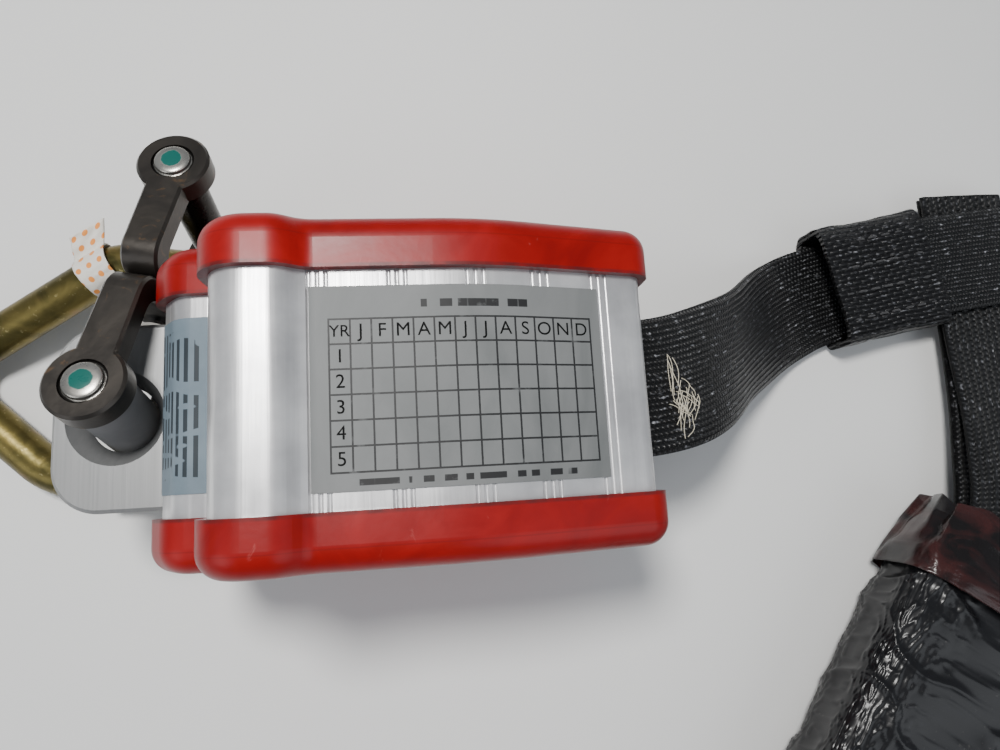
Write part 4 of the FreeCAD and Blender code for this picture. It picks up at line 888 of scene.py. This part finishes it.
def make_loops():
    """The pack's web loops: coarse webbing, the upper one in two layers that part a little."""
    half = PACK_HEIGHT / 2
    upper = [on_pack(0.0036, 0, half), on_pack(-0.008, 0, half), Vector((152.6, -8.0, 6.4)) * MM,
             Vector((153.8, 20.0, 6.0)) * MM, Vector((153.0, 52.0, 6.0)) * MM]
    line = smooth_line(upper)
    layers = []
    for number, (drop, wide, thick) in enumerate(((-0.0009, 0.0236, 0.0014), (0.0010, 0.0226, 0.0015))):
        moved = []
        for index, point in enumerate(line):
            share = index / (len(line) - 1)
            gap = 0.0022 * number * math.sin(math.pi * min(1, share * 1.35)) * (1 - share)
            sideways = 0.0011 * number * math.sin(share * 5)
            moved.append(point + UP * (drop + gap) + Vector((sideways, 0, 0)))
        name = f"pack_upper_web_{number}"
        layer = band(name, moved, lambda share: Vector((1, 0, 0)), wide, thick, 24, 0.0004)
        paint(layer, COARSE)
        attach(layer, "housing")
        layers.append(layer)
    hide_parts("pack_upper_loop")
    lower = [on_pack(PACK_LENGTH + x * MM, 0, z * MM) for x, z in (
        (-3.6, 11.5), (5.0, 11.5), (12.0, 3.3), (22.2, 3.3), (22.2, 16.0), (12.0, 16.0), (6.5, 14.8))]
    low = band("pack_lower_web", smooth_line(lower), lambda share: PACK_Y, 0.019, 0.0021, 20, 0.0002)
    paint(low, COARSE)
    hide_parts("pack_lower_loop")
    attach(low, "housing")
    return layers


def make_coil():
    """The webbing on the spool: layer on layer, their edges showing at both sides."""
    around, turns = 180, 14
    low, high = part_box("webbing_coil")
    centre = (Vector(low) + Vector(high)) / 2
    outer = (high[0] - low[0]) / 2
    inner = 0.0102
    half = (high[1] - low[1]) / 2
    pitch = (outer - inner) / turns
    face = [(outer, half - 0.0006)]
    for turn in range(turns):
        radius = outer - turn * pitch
        face += [(radius - pitch * 0.25, half), (radius - pitch * 0.75, half)]
        face.append((radius - pitch, half - 0.0005))
    face.append((inner, half - 0.0008))
    profile = face + [(radius, -y) for radius, y in reversed(face)]
    rings, uvs = [], []
    for radius, y in profile:
        ring_points = []
        for j in range(around):
            angle = math.tau * j / around
            ring_points.append(centre + Vector((math.cos(angle) * radius, y, math.sin(angle) * radius)))
            uvs.append((y + half, outer * angle))
        rings.append(ring_points)
    coil = walled_tube("wound_webbing", rings, uvs)
    paint(coil, FINE)
    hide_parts("webbing_coil")
    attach(coil, "drum")


def make_core():
    """The pack's tear webbing, folded back and forth in a flat bundle."""
    folds, steps = 5, 30
    bottom, rise = 0.0045, 0.0030
    start, length = 0.005, 0.0935
    for fold in range(folds):
        line = []
        for step in range(steps + 1):
            z = bottom + rise * fold + 0.0004 * math.sin(step)
            line.append(on_pack(start + length * step / steps, 0.0, z))
        layer = band(f"tear_web_{fold}", line, lambda share: PACK_Y, 0.037, 0.0022, 20, 0.0001)
        paint(layer, COARSE)
        if fold == 0:
            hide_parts("pack_core")
        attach(layer, "housing")


make_coil()
make_core()
pack = make_pack()
cuff = make_cuff()
upper_layers = make_loops()


# ---------------------------------------------------------------- the carabiner's tape flag
ROD_RADIUS = 0.0044
TAPE_MIDDLE = Vector((-58.9, 35.25, 13.45)) * MM
ROD_RUN = Vector((-0.8676, -0.4580, -0.1943)).normalized()
TAPE_HALF = 0.0037
OUTWARD = ROD_RUN.cross(UP).normalized()
LIFT = OUTWARD.cross(ROD_RUN)
FLAG_REACH = 0.0056
TAPE_THICK = 0.00044


def make_wrap():
    """Cloth tape round the rod, slightly wrinkled."""
    around = 96
    rings, uvs = [], []
    for share, outer in there_and_back(20):
        ring_points = []
        for j in range(around):
            angle = math.tau * j / around
            wrinkle = 0.00016 * noise.noise(Vector((math.cos(angle) * 5, math.sin(angle) * 5, share * 4)))
            radius = ROD_RADIUS + (0.00036 + wrinkle if outer else 0.00006)
            skew = 0.0005 * math.sin(angle * 2) * (share - 0.5)
            along = ROD_RUN * ((share * 2 - 1) * TAPE_HALF + skew)
            away = (OUTWARD * math.cos(angle) + LIFT * math.sin(angle)) * radius
            ring_points.append(TAPE_MIDDLE + along + away)
            uvs.append((share * TAPE_HALF * 2, angle * ROD_RADIUS))
        rings.append(ring_points)
    wrap = walled_tube("tape_wrap", rings, uvs)
    paint(wrap, TAPE)
    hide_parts("tape_flag")
    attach(wrap, "carabiner")


def make_flag():
    """The tape's two ends, pressed together into a short flag that bows and widens a little."""
    columns, rows = 22, 20
    vertices, uvs, faces = [], [], []
    rise = (OUTWARD * 0.90 + LIFT * 0.30 - ROD_RUN * 0.55).normalized()
    normal = rise.cross(ROD_RUN).normalized()
    base = TAPE_MIDDLE + OUTWARD * (ROD_RADIUS * 0.86) + LIFT * (ROD_RADIUS * 0.50)
    for side in (1, -1):
        for row in range(rows + 1):
            for column in range(columns + 1):
                u = column / columns * 2 - 1
                v = row / rows
                bow = 0.0007 * math.sin(u * 2.2 + 0.4) * v + 0.0004 * noise.noise(Vector((u * 2, v * 3, 1)))
                along = ROD_RUN * (u * TAPE_HALF * (1 + 0.12 * v))
                out = normal * (bow + side * TAPE_THICK / 2)
                vertices.append(base + along + rise * (v * FLAG_REACH) + out)
                uvs.append((u * TAPE_HALF + TAPE_HALF, 0.0226 + v * FLAG_REACH))
    lane = columns + 1
    size = lane * (rows + 1)
    for row in range(rows):
        for column in range(columns):
            a = row * lane + column
            faces.append((a, a + 1, a + 1 + lane, a + lane))
            faces.append((size + a, size + a + lane, size + a + 1 + lane, size + a + 1))
    rim = list(range(columns)) + [row * lane + columns for row in range(rows)]
    rim += [rows * lane + column for column in range(columns, 0, -1)]
    rim += [row * lane for row in range(rows, 0, -1)]
    for a, b in zip(rim, rim[1:] + rim[:1]):
        faces.append((a, size + a, size + b, b))
    flag = new_mesh("tape_flag_tail", vertices, faces, uvs)
    paint(flag, TAPE)
    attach(flag, "carabiner")


make_wrap()
make_flag()


# ---------------------------------------------------------------- the table, light and camera
TABLE_HALF = 1.5


def make_stage():
    corners = [(x * TABLE_HALF, y * TABLE_HALF, 0) for x, y in ((-1, -1), (1, -1), (1, 1), (-1, 1))]
    floor = new_mesh("table", corners, [(0, 1, 2, 3)])
    floor.location.z = -0.0001
    paint(floor, table_top())


def area_light(name, place, target, size, power, color):
    data = bpy.data.lights.new(name, "AREA")
    data.shape = "DISK"
    data.size = size
    data.energy = power
    data.color = color
    lamp = bpy.data.objects.new(name, data)
    lamp.location = place
    lamp.rotation_euler = (Vector(target) - Vector(place)).to_track_quat("-Z", "Y").to_euler()
    bpy.context.scene.collection.objects.link(lamp)


def make_lights():
    world = bpy.data.worlds.new("studio")
    world.use_nodes = True
    background = world.node_tree.nodes["Background"]
    background.inputs["Color"].default_value = (0.80, 0.86, 0.95, 1)
    background.inputs["Strength"].default_value = 0.30
    bpy.context.scene.world = world
    area_light("key", (-0.07, 0.12, 0.44), (0.05, 0.0, 0.02), 0.10, 2.3, (1.0, 0.985, 0.96))
    area_light("fill", (0.50, -0.40, 0.60), (0.03, -0.05, 0.02), 0.7, 1.6, (0.92, 0.96, 1.0))
    area_light("back", (-0.60, -0.35, 0.45), (0.0, -0.05, 0.02), 0.5, 1.1, (0.96, 0.98, 1.0))


CAMERA_PLACE = Vector((0.01062, -0.01546, 0.16823))
CAMERA_AHEAD = Vector((0.1036, 0.1523, -0.9829))
CAMERA_UP = Vector((0.0414, 0.9867, 0.1572))
FOCAL_PIXELS = 695.1
IMAGE_WIDTH = 1000.0


def make_camera():
    data = bpy.data.cameras.new("camera")
    data.sensor_width = 36.0
    data.lens = FOCAL_PIXELS / IMAGE_WIDTH * data.sensor_width
    data.clip_start = 0.005
    camera = bpy.data.objects.new("camera", data)
    bpy.context.scene.collection.objects.link(camera)
    back = -CAMERA_AHEAD.normalized()
    right = CAMERA_UP.cross(back).normalized()
    up = back.cross(right)
    turn = Matrix((right, up, back)).transposed().to_4x4()
    camera.matrix_world = Matrix.Translation(CAMERA_PLACE) @ turn
    bpy.context.scene.camera = camera


make_stage()
make_lights()
make_camera()
